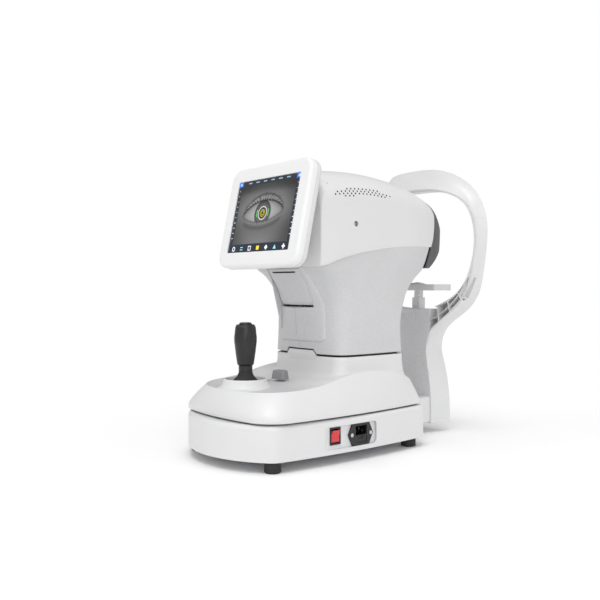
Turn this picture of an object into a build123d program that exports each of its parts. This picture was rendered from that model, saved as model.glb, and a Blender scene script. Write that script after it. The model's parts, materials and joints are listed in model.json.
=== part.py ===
"""Autorefractor: base, cross slide, stage, rising head, tilting monitor and headrest.

Millimetres. +Z is up, +X is the operator's right, +Y points at the patient.
The origin is on the table under the middle of the whole instrument.
"""
from build123d import *
import math
import os

# ---- driving dimensions -------------------------------------------------------------
WALL = 3.0                      # moulded covers
FLOOR_Z = 16.5                  # underside of the base, top of the rubber feet
BASE_TOP_Z = 69.5               # top of the base tray
STAGE_Z = 72.0                  # underside of the stage cover
COLLAR_Z = 157.0                # top of the stage collar, under the head gap
NECK_Z = 159.0                  # lower edge of the column cover

BASE_HALF, BASE_FRONT, BASE_REAR = 126.5, -253.0, 116.0
STAGE_HALF, STAGE_FRONT, STAGE_REAR = 125.5, -236.0, 113.0
FOOT_R, FOOT_X, FOOT_Y = 12.4, 99.7, (-200.2, 89.6)

STICK_Y, STICK_PIVOT_Z, STICK_TOP_Z = -177.0, 100.0, 213.5
RING_OUTER_R, THROAT_R, RING_INNER_R, RING_TOP_Z = 44.5, 34.0, 31.5, 126.0
KNOB_Y, KNOB_R, KNOB_Z = -108.0, 13.0, (119.5, 134.5)

SLIDE_Y = -60.0                 # cross axle
AXLE_Z, AXLE_R, WHEEL_R = 59.05, 4.0, 9.0
RAIL_X, RAIL_TOP_Z = 70.0, 50.0

LIFT_Y, LIFT_SCREW_R, ROD_X, ROD_R = 20.0, 5.0, 50.0, 6.0
CHASSIS_Z = 240.0
BENCH_Z = 300.0
OPTIC_Z = 375.0                 # measuring axis at rest

PLATEN, PAPER, DOOR_PIN_R = (-77.0, 284.5), (-42.0, 256.0), 1.1

SCREEN_W, SCREEN_H = 162.0, 122.0
MONITOR_TILT = 12.4             # degrees, top leans away from the operator
MONITOR_ORIGIN = (0.0, -157.3, 324.9)   # middle of the screen's lower edge
MONITOR_W, MONITOR_LOW, MONITOR_HIGH = 209.0, -24.0, 145.5
MONITOR_T = 24.0
HINGE_V, HINGE_W, KNUCKLE_R, PIN_R = 70.0, -30.0, 5.0, 2.5

DOOR_HALF, DOOR_Z = 40.7, (239.6, 298.7)
DOOR_HINGE = (-72.6, 239.2)     # pin of the printer door: y and z

INLET_X = 122.0                 # outer face of the recessed inlet panel
INLET_Y, INLET_Z = (-119.4, -13.3), (23.5, 58.4)
SOCKET_Y, SOCKET_Z = -46.6, 41.2
ROCKER_Y, ROCKER_Z = -98.8, 43.7

HOOP_FRONT_Y = 203.0
HOOP_REAR_LOW = (247.0, 20.0)   # rear plane of the headrest: y and z at its foot
HOOP_REAR_HIGH = (227.0, 489.5)
SEAM_Z = 390.0                  # joint between lower frame and forehead arch
CHIN_Y, CHIN_Z = 228.0, (262.4, 273.7)
CHIN_HALF, CHIN_DEPTH = 60.2, 48.5
POST_HALF, SLEEVE_HALF, SLEEVE_TOP_Z = 5.8, 8.5, 249.0
COLUMN_PANEL_Z = (68.0, 227.0)

RUN = 0.05                      # radial running clearance


# ---- shape helpers ------------------------------------------------------------------
def block(x_low, x_high, y_low, y_high, z_low, z_high):
    """Box between two corners."""
    centre = ((x_low + x_high) / 2, (y_low + y_high) / 2, (z_low + z_high) / 2)
    return Pos(*centre) * Box(x_high - x_low, y_high - y_low, z_high - z_low)


def rod(radius, length, base, axis="Z"):
    """Round bar from base along the positive axis."""
    turn = {"X": Rot(0, 90, 0), "Y": Rot(-90, 0, 0), "Z": Rot(0, 0, 0)}[axis]
    return Pos(*base) * turn * Pos(0, 0, length / 2) * Cylinder(radius, length)


def tube(outer, inner, length, base, axis="Z"):
    """Round tube from base along the positive axis."""
    return rod(outer, length, base, axis) - rod(inner, length, base, axis)


def plan(z, half, front, side_y, rear, front_round, rear_round, rear_half=None, corner=0.95):
    """Flat outline at height z: bowed front, gently bowed sides, straight rear."""
    rear_half = half if rear_half is None else rear_half
    cx = half * corner
    waist = (side_y + rear) / 2
    edges = [
        ThreePointArc((-cx, side_y), (0, front), (cx, side_y)),
        ThreePointArc((cx, side_y), (half, waist), (rear_half, rear)),
        Line((rear_half, rear), (-rear_half, rear)),
        ThreePointArc((-rear_half, rear), (-half, waist), (-cx, side_y)),
    ]
    face = make_face(Curve() + edges)
    rows = face.vertices().group_by(Axis.Y)
    face = fillet(rows[0], front_round)
    rows = face.vertices().group_by(Axis.Y)
    face = fillet(rows[-1], rear_round)
    return Pos(0, 0, z) * face


def base_plan(z, inset):
    """Outline of the base tray, drawn in by inset."""
    return plan(z, BASE_HALF - inset, BASE_FRONT + inset, -206.0 + inset, BASE_REAR - inset,
                32.0 - inset, 18.0 - inset, 118.0 - inset, 0.91)


def stage_section(z, front_in, side_in, rear_in, inset):
    """Outline of the stage cover at height z."""
    half = STAGE_HALF - side_in - inset
    front = STAGE_FRONT + front_in + inset
    side_y = -219.0 + 0.95 * front_in + inset
    rear = STAGE_REAR - rear_in - inset
    return plan(z, half, front, side_y, rear, 34.0, 15.0, half - 14.0, 0.94)


STAGE_SECTIONS = [              # height, then inward set of front, sides and rear
    (STAGE_Z, 0, 0, 0),
    (80, 0, 0, 0),
    (91, 6, 3, 1),
    (99, 14, 6, 2),
    (106, 24, 10, 6),
    (113, 34, 15, 15),
    (118, 128, 17, 24),
    (120, 150, 18, 30),
    (126, 163, 19, 44),
    (130, 172, 20, 56),
    (134, 186, 22, 80),
]


def stage_body(inset, drop=0.0):
    """Solid dome of the stage, set in by inset and lowered by drop."""
    faces = [stage_section(z - drop, f, s, r, inset) for z, f, s, r in STAGE_SECTIONS]
    return loft(faces, ruled=True)


def collar_body(inset, low=112.0, high=COLLAR_Z):
    """Collar under the head with its hollow flare to the deck."""
    flares = [(low, 16), (122, 9), (130, 4.5), (140, 1), (high, 0)]
    faces = []
    for z, flare in flares:
        grow = flare - inset
        rear = 87.5 + 0.5 * flare - inset
        faces.append(plan(z, 90.7 + grow, -64.0 - grow, -53.0 - grow, rear, 18.0, 8.0))
    return loft(faces, ruled=True)


NECK_SECTIONS = [               # height, half width, front centre, front at the sides, rear, rear half width
    (NECK_Z, 91.0, -66.0, -52.0, 87.5, 90.0),
    (203, 91.0, -71.0, -47.5, 84.5, 90.0),
    (240, 91.0, -75.0, -47.5, 92.0, 90.0),
    (262, 91.5, -84.0, -54.0, 101.0, 90.0),
    (280, 93.5, -93.0, -68.0, 117.0, 90.0),
    (297, 96.0, -101.0, -92.0, 138.0, 90.0),
    (312, 97.5, -102.6, -101.0, 147.0, 90.0),
    (345, 98.5, -102.6, -101.6, 162.0, 89.5),
]


def neck_body(inset):
    """Solid of the column cover that flares into the head."""
    faces = []
    for z, half, front, side_y, rear, rear_half in NECK_SECTIONS:
        faces.append(plan(z, half - inset, front + inset, side_y + inset, rear - inset, 14.0, 8.0,
                          rear_half - inset))
    return loft(faces, ruled=True)


HEAD_SECTIONS = [               # y, half width, height over x = 70, crown height
    (-102.0, 94.0, 430.0, 440.0),
    (-96.0, 97.0, 443.0, 455.0),
    (-77.0, 98.5, 450.0, 463.0),
    (-30.0, 99.0, 452.6, 466.0),
    (20.0, 99.0, 451.0, 465.0),
    (73.0, 97.0, 446.0, 459.0),
    (105.0, 95.0, 441.0, 453.0),
    (138.0, 91.5, 434.0, 444.0),
    (172.0, 88.0, 424.0, 431.0),
]


def head_section(y, half, edge_z, crown_z, low_z=290.0):
    """Arched cross-section of the head, standing across the instrument."""
    spring_z = edge_z - 38.0
    right = Spline((half, spring_z), (half * 0.72, edge_z), (0, crown_z), tangents=[(0, 1), (-1, 0)])
    left = Spline((0, crown_z), (-half * 0.72, edge_z), (-half, spring_z), tangents=[(-1, 0), (0, -1)])
    edges = [
        Line((half, low_z), (half, spring_z)),
        right,
        left,
        Line((-half, spring_z), (-half, low_z)),
        Line((-half, low_z), (half, low_z)),
    ]
    upright = Plane(origin=(0, y, 0), x_dir=(1, 0, 0), z_dir=(0, -1, 0))
    return upright * make_face(Curve() + edges)


def head_body(inset):
    """Solid of the upper head."""
    faces = []
    for y, half, edge_z, crown_z in HEAD_SECTIONS:
        y_in = y + inset if y < -101 else y
        faces.append(head_section(y_in, half - inset, edge_z - inset, crown_z - inset))
    return loft(faces, ruled=True)


CREASE = [(-102, 299.5), (-70, 311), (-29, 322), (14, 329), (59, 335), (107, 338), (149.5, 338.5)]
BEZEL_EDGE = [(144, 303), (155.5, 332), (166, 341), (169, 375), (167, 402), (158.5, 418), (150, 425)]
BEZEL_REAR = [(170, 421), (188, 411), (193, 404), (195, 372), (191, 338), (181, 326), (155, 303)]
BEZEL_SECTIONS = [(138, 91.5, 434, 444), (172, 88, 424, 431), (185, 84, 415, 421), (197, 78, 403, 408)]


def side_slab(edges, half=130.0):
    """Profile drawn in y and z, made into a slab across x."""
    side = Plane(origin=(-half, 0, 0), x_dir=(0, 1, 0), z_dir=(1, 0, 0))
    return extrude(side * make_face(Curve() + edges), amount=2 * half)


def above_crease():
    """Everything over the side crease of the head."""
    rise = [(-130, 299.5), CREASE[0]]
    edges = [
        Line(*rise),
        Spline(*CREASE),
        Polyline(CREASE[-1], (230, 338.5), (230, 520), (-130, 520), (-130, 299.5)),
    ]
    return side_slab(edges)


def behind_bezel_edge():
    """Everything on the patient side of the bezel's front boundary."""
    edges = [
        Spline(*BEZEL_EDGE),
        Polyline(BEZEL_EDGE[-1], (150, 520), (260, 520), (260, 240), (144, 240), BEZEL_EDGE[0]),
    ]
    return side_slab(edges)


# ---- base ---------------------------------------------------------------------------
def make_base_tray():
    """Moulded base with a rolled upper edge, open below, with slots for slide and inlet."""
    shell = extrude(base_plan(FLOOR_Z, 0), amount=BASE_TOP_Z - FLOOR_Z)
    shell = fillet(shell.edges().group_by(Axis.Z)[-1], 6.5)
    shell -= extrude(base_plan(FLOOR_Z - 1, WALL), amount=BASE_TOP_Z - WALL - FLOOR_Z + 1)
    shell -= block(-84, 84, -105, -22, 60, 80)
    window = block(110, 135, INLET_Y[0], INLET_Y[1], INLET_Z[0], INLET_Z[1])
    shell -= fillet(window.edges().filter_by(Axis.X), 6.0)
    shell -= block(INLET_X - 2, INLET_X, INLET_Y[0] - 3, INLET_Y[1] + 3, INLET_Z[0] - 3, INLET_Z[1] + 3)
    shell -= block(-41, 41, 100, 120, 19.5, 24.0)
    return shell


def make_base_plate():
    """Pressed steel floor plate with holes for the foot screws."""
    plate = extrude(base_plan(FLOOR_Z, WALL + 0.3), amount=3.0)
    for x, y in foot_places():
        plate -= rod(2.0, 10, (x, y, FLOOR_Z - 3))
    return plate


def foot_places():
    """Centres of the four feet."""
    return [(x, y) for x in (-FOOT_X, FOOT_X) for y in FOOT_Y]


def make_feet():
    """Rubber feet, counterbored from below."""
    feet = []
    for x, y in foot_places():
        foot = rod(FOOT_R, FLOOR_Z, (x, y, 0))
        foot = chamfer(foot.edges().group_by(Axis.Z)[0], 1.5)
        foot -= rod(5.0, 7.0, (x, y, -1))
        foot -= rod(2.5, 30, (x, y, -1))
        feet.append(foot)
    return feet


def make_foot_screws():
    """Pan head screws that hold the feet to the floor plate."""
    return [rod(4.2, 2.6, (x, y, 3.4)) + rod(2.0, 13.4, (x, y, 6.0)) for x, y in foot_places()]


def make_y_rails():
    """Two steel rails that carry the wheels of the cross slide."""
    return [block(s * RAIL_X - 5, s * RAIL_X + 5, -112, -30, FLOOR_Z + 3, RAIL_TOP_Z) for s in (-1, 1)]


def make_friction_plate():
    """Hard plate under the joystick's ball tip."""
    plate = block(-52, 52, -222, -156, BASE_TOP_Z, BASE_TOP_Z + 1.0)
    return fillet(plate.edges().filter_by(Axis.Z), 6.0)


def make_power_supply():
    """Switch mode supply in its vented metal case."""
    case = block(-108, -46, 20, 98, FLOOR_Z + 3, 55)
    for i in range(7):
        y = 28 + 9 * i
        case -= block(-98, -56, y, y + 4, 53.5, 60)
    return case


def make_control_board():
    """Main logic board on four standoffs."""
    board = block(46, 108, 20, 98, 27.0, 28.6)
    for x in (52, 102):
        for y in (27, 91):
            board += rod(3.0, 7.5, (x, y, FLOOR_Z + 3))
    for x, y, w, d, h in ((64, 44, 18, 18, 3), (88, 52, 14, 14, 3), (76, 82, 42, 8, 9), (98, 36, 10, 20, 10)):
        board += block(x - w / 2, x + w / 2, y - d / 2, y + d / 2, 28.6, 28.6 + h)
    return board


def make_inlet_panel():
    """Recessed panel that carries the switch and the mains inlet."""
    panel = block(INLET_X - 2.0, INLET_X, INLET_Y[0] - 3, INLET_Y[1] + 3, INLET_Z[0] - 3, INLET_Z[1] + 3)
    panel -= block(100, 130, ROCKER_Y - 9.5, ROCKER_Y + 9.5, ROCKER_Z - 12.0, ROCKER_Z + 12.0)
    panel -= block(100, 130, SOCKET_Y - 14, SOCKET_Y + 14, SOCKET_Z - 14.5, SOCKET_Z + 14.5)
    for side in (-20, 20):
        panel -= rod(1.6, 20, (INLET_X - 10, SOCKET_Y + side, SOCKET_Z), "X")
    return panel


def make_inlet_posts():
    """Standoffs that tie the inlet panel to the floor plate."""
    return [block(INLET_X - 8, INLET_X - 2, y - 3, y + 3, FLOOR_Z + 3, 60) for y in (-80.0, -18.0)]


def make_switch_body():
    """Frame and box of the power switch."""
    lip = block(INLET_X, INLET_X + 1.6, ROCKER_Y - 10.6, ROCKER_Y + 10.6, ROCKER_Z - 13.2, ROCKER_Z + 13.2)
    body = block(INLET_X - 16, INLET_X, ROCKER_Y - 9.4, ROCKER_Y + 9.4, ROCKER_Z - 11.9, ROCKER_Z + 11.9)
    well = block(INLET_X - 12, INLET_X + 5, ROCKER_Y - 8.3, ROCKER_Y + 8.3, ROCKER_Z - 10.8, ROCKER_Z + 10.8)
    return lip + body - well


def make_power_rocker():
    """Rocker with its two faces meeting in a shallow V at the pivot, lower half pressed."""
    low = (INLET_X + 1.4, ROCKER_Z - 9.2)
    mid = (INLET_X + 1.0, ROCKER_Z)
    high = (INLET_X + 4.2, ROCKER_Z + 9.2)
    back = [(INLET_X - 4, ROCKER_Z + 7.0), (INLET_X - 7, ROCKER_Z), (INLET_X - 4, ROCKER_Z - 7.0)]
    outline = Polyline(low, mid, high, *back, low)
    front = Plane(origin=(0, ROCKER_Y + 8.0, 0), x_dir=(1, 0, 0), z_dir=(0, -1, 0))
    return extrude(front * make_face(Curve() + [outline]), amount=16.0)


def hexagon(half_y, half_z, flat_half, x, depth):
    """Six-sided plate with points at both ends along y."""
    outline = Polyline((-half_y, 0), (-flat_half, half_z), (flat_half, half_z), (half_y, 0),
                       (flat_half, -half_z), (-flat_half, -half_z), (-half_y, 0))
    plane = Plane(origin=(x, SOCKET_Y, SOCKET_Z), x_dir=(0, 1, 0), z_dir=(1, 0, 0))
    return extrude(plane * make_face(Curve() + [outline]), amount=depth)


def make_mains_inlet():
    """Fused mains inlet: flange, C14 well in the upper half and drawer slot below."""
    x, y, z = INLET_X, SOCKET_Y, SOCKET_Z
    body = hexagon(26.0, 17.2, 17.5, x, 3.2)
    body += block(x - 22, x, y - 13.8, y + 13.8, z - 14.2, z + 14.2)
    body -= block(x - 15, x + 6, y - 12.0, y + 12.0, z - 1.5, z + 12.8)
    body -= block(x - 20, x + 6, y - 12.2, y + 12.2, z - 13.2, z - 3.2)
    for side in (-20, 20):
        body -= rod(1.6, 20, (INLET_X - 10, SOCKET_Y + side, SOCKET_Z), "X")
    return body


def make_inlet_pins():
    """Line, neutral and earth blades of the inlet."""
    pins = []
    for y, z in ((-7, 4.0), (0, 8.0), (7, 4.0)):
        pins.append(block(INLET_X - 20, INLET_X - 2, SOCKET_Y + y - 1, SOCKET_Y + y + 1,
                          SOCKET_Z + z - 2, SOCKET_Z + z + 2))
    return pins


def make_fuse_drawer():
    """Pull-out drawer for the two fuses."""
    x, y, z = INLET_X, SOCKET_Y, SOCKET_Z
    drawer = block(x - 18, x + 2.6, y - 12.0, y + 12.0, z - 13.0, z - 3.4)
    for side in (-8, 1):
        drawer -= block(x - 17, x - 1, y + side, y + side + 7, z - 10, z)
    drawer -= block(x + 1.6, x + 3, y - 4, y + 4, z - 7.4, z - 3)
    return drawer


def make_inlet_screws():
    """Countersunk screws of the mains inlet, 40 mm apart."""
    screws = []
    for side in (-20, 20):
        at = (INLET_X + 3.2, SOCKET_Y + side, SOCKET_Z)
        screws.append(rod(3.0, 1.2, at, "X") + rod(1.5, 10.0, (INLET_X - 6.8, at[1], at[2]), "X"))
    return screws


# ---- cross slide --------------------------------------------------------------------
def make_slide_bar():
    """Carriage of the cross slide: a bar with an end plate at each wheel."""
    bar = block(-82, 82, SLIDE_Y + 12, SLIDE_Y + 20, 53, 65)
    for side in (-1, 1):
        plate = block(side * 79 - 3, side * 79 + 3, SLIDE_Y - 9, SLIDE_Y + 20, 51, 67)
        bar += plate
        bar -= rod(AXLE_R + RUN, 12, (side * 79 - 6, SLIDE_Y, AXLE_Z), "X")
    return bar


def make_cross_axle():
    """Ground shaft that the stage slides along and that turns as the slide rolls."""
    return rod(AXLE_R, 164, (-82, SLIDE_Y, AXLE_Z), "X")


def make_slide_wheels():
    """Grooved wheels fixed to the axle."""
    wheels = []
    for side in (-1, 1):
        wheel = tube(WHEEL_R, AXLE_R, 6, (side * RAIL_X - 3, SLIDE_Y, AXLE_Z), "X")
        wheel -= tube(WHEEL_R - 2, AXLE_R + 2, 2, (side * (RAIL_X + 2) - 1, SLIDE_Y, AXLE_Z), "X")
        wheels.append(wheel)
    return wheels


# ---- stage --------------------------------------------------------------------------
def make_stage_plate():
    """Steel chassis plate of the stage."""
    plate = block(-98, 98, -214, 92, 73.0, 76.0)
    plate = fillet(plate.edges().filter_by(Axis.Z), 20.0)
    plate -= rod(24, 10, (0, STICK_Y, 70))
    return plate


def make_slide_bushings():
    """Bushed blocks under the chassis plate that run on the cross axle."""
    blocks = []
    for side in (-1, 1):
        housing = block(side * 18 - 6, side * 18 + 6, SLIDE_Y - 8, SLIDE_Y + 8, 52.5, 73.0)
        housing -= rod(AXLE_R + RUN, 14, (side * 18 - 7, SLIDE_Y, AXLE_Z), "X")
        blocks.append(housing)
    return blocks


def make_stage_cover():
    """Domed cover of the stage with the collar under the head."""
    cover = stage_body(0) + collar_body(0)
    cover -= stage_body(WALL, WALL)
    cover -= block(-200, 200, -300, 200, STAGE_Z - 5, STAGE_Z)
    cover -= collar_body(WALL, 108.0, COLLAR_Z + 1)
    cover -= rod(THROAT_R, 60, (0, STICK_Y, 90))
    cover -= rod(3.4, 40, (0, KNOB_Y, 100))
    return cover


def make_joystick_ring():
    """Ring around the joystick well, flaring to the deck."""
    profile = Polyline((THROAT_R, 94), (THROAT_R, RING_TOP_Z), (36, 122.5), (39.5, 117),
                       (RING_OUTER_R, 112.5), (RING_OUTER_R, 94), (THROAT_R, 94))
    face = Plane(origin=(0, STICK_Y, 0), x_dir=(1, 0, 0), z_dir=(0, -1, 0)) * make_face(Curve() + [profile])
    skirt = revolve(face, Axis((0, STICK_Y, 0), (0, 0, 1))) - stage_body(0)
    return skirt + tube(THROAT_R, RING_INNER_R, RING_TOP_Z - 104, (0, STICK_Y, 104))


def make_gimbal_mount():
    """Tube on the chassis plate with the fore-and-aft pivot holes."""
    mount = tube(29.5, 26.0, 30.0, (0, STICK_Y, 76))
    mount -= rod(2.0 + RUN, 80, (-40, STICK_Y, STICK_PIVOT_Z), "X")
    return mount


def make_gimbal_ring():
    """Ring of the joystick gimbal with its two trunnions along x."""
    ring = tube(17.0, 14.0, 9.0, (0, STICK_Y, STICK_PIVOT_Z - 4.5))
    ring -= rod(2.0 + RUN, 60, (0, STICK_Y - 30, STICK_PIVOT_Z), "Y")
    for start in (-29.0, 15.5):
        ring += rod(2.0, 13.5, (start, STICK_Y, STICK_PIVOT_Z), "X")
    return ring


def make_joystick_shaft():
    """Steel stem with a ball tip below, a cross pin at the pivot and a collar above."""
    stem = rod(5.0, 112.0, (0, STICK_Y, 78.0))
    stem += Pos(0, STICK_Y, 75.3) * Sphere(4.4)
    stem += rod(2.0, 33.0, (0, STICK_Y - 16.5, STICK_PIVOT_Z), "Y")
    stem += rod(10.75, 10.6, (0, STICK_Y, 135.4))
    return stem


def make_joystick_boot():
    """Rubber boot between the collar and the well."""
    profile = Polyline((5.0, 135.4), (10.7, 135.4), (13.0, 130.0), (18.5, 124.0), (23.0, 115.0),
                       (21.6, 114.2), (17.2, 122.6), (11.6, 128.6), (9.2, 133.6), (5.0, 133.6), (5.0, 135.4))
    face = Plane(origin=(0, STICK_Y, 0), x_dir=(1, 0, 0), z_dir=(0, -1, 0)) * make_face(Curve() + [profile])
    return revolve(face, Axis((0, STICK_Y, 0), (0, 0, 1)))


def make_joystick_grip():
    """Fluted grip, which is also the height ring, with a pocket for the button."""
    profile = Polyline((0, 146.8), (12.0, 146.8), (13.1, 149.0), (15.6, 166.0), (17.7, 184.0), (17.7, 190.0),
                       (16.0, 206.0), (14.0, 210.0), (0, 210.0), (0, 146.8))
    face = Plane(origin=(0, STICK_Y, 0), x_dir=(1, 0, 0), z_dir=(0, -1, 0)) * make_face(Curve() + [profile])
    grip = revolve(face, Axis((0, STICK_Y, 0), (0, 0, 1)))
    for i in range(12):
        angle = math.radians(30 * i)
        grip -= rod(1.6, 30, (18.6 * math.cos(angle), STICK_Y + 18.6 * math.sin(angle), 168))
    grip -= rod(5.0 + RUN, 46.0, (0, STICK_Y, 145.0))
    grip -= rod(10.3, 20, (0, STICK_Y, 200.0))
    return grip


def make_measure_button():
    """Domed push button on top of the joystick."""
    button = rod(10.0, STICK_TOP_Z - 203.0, (0, STICK_Y, 203.0))
    return fillet(button.edges().group_by(Axis.Z)[-1], 3.0)


def make_lock_knob():
    """Stage lock: round fluted knob on a threaded spindle."""
    hub = rod(KNOB_R, KNOB_Z[1] - KNOB_Z[0], (0, KNOB_Y, KNOB_Z[0]))
    hub = fillet(hub.edges().group_by(Axis.Z)[-1], 3.5)
    for i in range(10):
        angle = math.radians(36 * i)
        x, y = (KNOB_R + 1.2) * math.cos(angle), (KNOB_R + 1.2) * math.sin(angle)
        hub -= rod(2.2, 30, (x, KNOB_Y + y, KNOB_Z[0] - 2))
    return hub + rod(3.2, 34, (0, KNOB_Y, 88.0))


def make_lock_bush():
    """Threaded bush under the deck that carries the lock spindle."""
    return tube(7.0, 3.2 + RUN, 26.0, (0, KNOB_Y, 76.0))


def make_lift_motor():
    """Stepper motor of the height drive."""
    motor = block(-21, 21, LIFT_Y - 21, LIFT_Y + 21, 76.0, 116.0)
    return chamfer(motor.edges().filter_by(Axis.Z), 3.0)


def make_guide_rods():
    """Two ground rods that guide the head."""
    return [rod(ROD_R, 194, (side * ROD_X, LIFT_Y, 76.0)) for side in (-1, 1)]


def make_rod_bases():
    """Flanged feet of the guide rods."""
    bases = []
    for side in (-1, 1):
        x = side * ROD_X
        bases.append(tube(15.0, ROD_R, 4.0, (x, LIFT_Y, 76.0)) + tube(10.0, ROD_R, 14.0, (x, LIFT_Y, 80.0)))
    return bases


def make_lift_screw():
    """Lead screw with its motor coupler."""
    return rod(LIFT_SCREW_R, 150, (0, LIFT_Y, 117.0)) + rod(9.0, 18, (0, LIFT_Y, 116.4))


def make_lift_shroud():
    """Inner sleeve that closes the gap when the head rises."""
    return extrude(shroud_plan(104, 0), amount=86.0) - extrude(shroud_plan(100, 1.6), amount=100.0)


def shroud_plan(z, inset):
    """Outline of the inner sleeve."""
    return plan(z, 86.4 - inset, -60.5 + inset, -43.5 + inset, 80.0 - inset, 14.0 - inset, 8.0 - inset)


def make_shroud_clips():
    """Brackets from the chassis plate to the foot of the inner sleeve."""
    inside = extrude(shroud_plan(70, 1.6), amount=50.0)
    clips = []
    for side in (-1, 1):
        for y in (-25, 55):
            clips.append(block(side * 84 - 5, side * 84 + 5, y - 8, y + 8, 76.0, 112.0) & inside)
    return clips


# ---- head ---------------------------------------------------------------------------
def make_column_covers():
    """Left and right column covers, split on the middle plane, with the printer opening."""
    cover = neck_body(0) - neck_body(WALL)
    cover = cover - above_crease() - behind_bezel_edge()
    cover -= block(-100, 100, -200, 200, 100, NECK_Z + 0.01)
    cover -= block(-DOOR_HALF - 0.3, DOOR_HALF + 0.3, -130, 0, DOOR_Z[0] - 2.8, 299.0)
    left = cover & block(-200, -0.1, -300, 300, 0, 500)
    right = cover & block(0.1, 200, -300, 300, 0, 500)
    return left, right


def make_head_shell():
    """Glossy upper shell of the head."""
    shell = head_body(0) - head_body(WALL)
    shell = shell & above_crease()
    shell -= behind_bezel_edge()
    for i in range(3):
        for k in range(14 - i):
            y = -66.0 + 4.0 * i + 8.0 * k
            z = 424.0 - 5.6 * i - 0.0028 * (y + 10.0) ** 2
            shell -= rod(1.25, 20, (88.0, y, z), "X")
    shell -= rod(5.5, 8, (97.0, -32.7, 369.0), "X")
    return shell


def make_rear_bezel():
    """Dark bezel round the measuring window."""
    edges = [
        Spline(*BEZEL_EDGE),
        Polyline(BEZEL_EDGE[-1], BEZEL_REAR[0]),
        Spline(*BEZEL_REAR),
        Polyline(BEZEL_REAR[-1], BEZEL_EDGE[0]),
    ]
    outer = side_slab(edges) & bezel_core(0)
    inner = Pos(0, -WALL, 0) * side_slab(edges) & bezel_core(WALL)
    bezel = outer - inner
    bezel -= block(-80, 80, 130, 166, 312, 412)
    bezel -= rod(28.0, 60, (0, 160, OPTIC_Z), "Y")
    return bezel


def bezel_core(inset):
    """Arched prism that tapers towards the patient."""
    faces = []
    for y, half, edge_z, crown_z in BEZEL_SECTIONS:
        faces.append(head_section(y, half - inset, edge_z - inset, crown_z - inset, 296.0 + inset))
    return loft(faces, ruled=True)


def make_window_ring():
    """Metal ring that holds the measuring window."""
    return tube(28.0, 25.0, 10.0, (0, 182.5, OPTIC_Z), "Y")


def make_measuring_window():
    """Coated glass of the measuring window."""
    return rod(25.0, 2.0, (0, 187.0, OPTIC_Z), "Y")


def make_head_chassis():
    """Carriage plate of the head with its holes for rods and screw, and four posts."""
    plate = block(-76, 76, -30, 74, CHASSIS_Z, CHASSIS_Z + 4)
    plate -= block(-39, 39, -40, -14, CHASSIS_Z - 1, CHASSIS_Z + 5)
    for side in (-1, 1):
        plate -= rod(ROD_R + 0.6, 20, (side * ROD_X, LIFT_Y, CHASSIS_Z - 8))
        for y in (-20, 62):
            plate += rod(5.0, BENCH_Z - CHASSIS_Z - 4, (side * 66, y, CHASSIS_Z + 4))
    plate -= rod(LIFT_SCREW_R + 0.6, 20, (0, LIFT_Y, CHASSIS_Z - 8))
    return plate


def make_lift_bearings():
    """Linear bearings of the head carriage."""
    return [tube(10.5, ROD_R + RUN, 38, (side * ROD_X, LIFT_Y, CHASSIS_Z - 38)) for side in (-1, 1)]


def make_lift_nut():
    """Flanged nut of the lead screw."""
    return (tube(16.0, LIFT_SCREW_R + RUN, 4, (0, LIFT_Y, CHASSIS_Z - 4))
            + tube(11.0, LIFT_SCREW_R + RUN, 14, (0, LIFT_Y, CHASSIS_Z - 18)))


def make_optical_bench():
    """Cast plate that carries the optics."""
    bench = block(-74, 74, -80, 128, BENCH_Z, BENCH_Z + 5)
    return bench - block(-30, 30, -20, 50, BENCH_Z - 1, BENCH_Z + 6)


def make_barrel_cradle():
    """Saddle for the objective barrel."""
    cradle = block(-30, 30, 104, 124, BENCH_Z + 5, OPTIC_Z - 10)
    return cradle - rod(27.0, 40, (0, 100, OPTIC_Z), "Y")


def make_objective_barrel():
    """Barrel of the objective lens with its rear relay tube."""
    barrel = tube(27.0, 24.0, 62, (0, 108, OPTIC_Z), "Y")
    barrel += tube(27.0, 13.0, 4, (0, 104, OPTIC_Z), "Y")
    barrel += tube(15.0, 13.0, 86, (0, 18, OPTIC_Z), "Y")
    return barrel


def make_objective_lens():
    """Objective lens with two curved faces."""
    blank = rod(24.0, 12, (0, 152, OPTIC_Z), "Y")
    ball = Sphere(60)
    return blank & Pos(0, 104.5, OPTIC_Z) * ball & Pos(0, 211.5, OPTIC_Z) * ball


def make_light_ring():
    """Ring of near infrared emitters round the objective."""
    ring = tube(27.0, 21.0, 3, (0, 170.0, OPTIC_Z), "Y")
    for i in range(8):
        angle = math.radians(45 * i)
        ring += rod(1.5, 3, (24 * math.cos(angle), 173.0, OPTIC_Z + 24 * math.sin(angle)), "Y")
    return ring


def make_camera_module():
    """Measuring camera and its sensor board."""
    camera = block(-20, 20, -28, 10, OPTIC_Z - 20, OPTIC_Z + 20) + tube(14.5, 10.0, 8, (0, 10, OPTIC_Z), "Y")
    camera += block(-26, 26, -30, -28, OPTIC_Z - 26, OPTIC_Z + 26)
    camera += block(-12, 12, -24, 4, BENCH_Z + 5, OPTIC_Z - 20)
    return camera


def make_fixation_unit():
    """Housing of the fixation target beside the optical axis."""
    unit = block(-64, -32, 40, 100, BENCH_Z + 5, OPTIC_Z + 16)
    return fillet(unit.edges().filter_by(Axis.Y), 4.0) + rod(8.0, 14, (-32, 70, OPTIC_Z), "X")


def make_head_board():
    """Image processing board on the right of the bench."""
    board = block(68, 69.6, -60, 96, BENCH_Z + 5, 396)
    for y, z, size in ((-30, 350, 26), (20, 345, 18), (60, 360, 30), (30, 380, 12)):
        board += block(65, 68, y - size / 2, y + size / 2, z - size / 2, z + size / 2)
    return board


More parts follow.
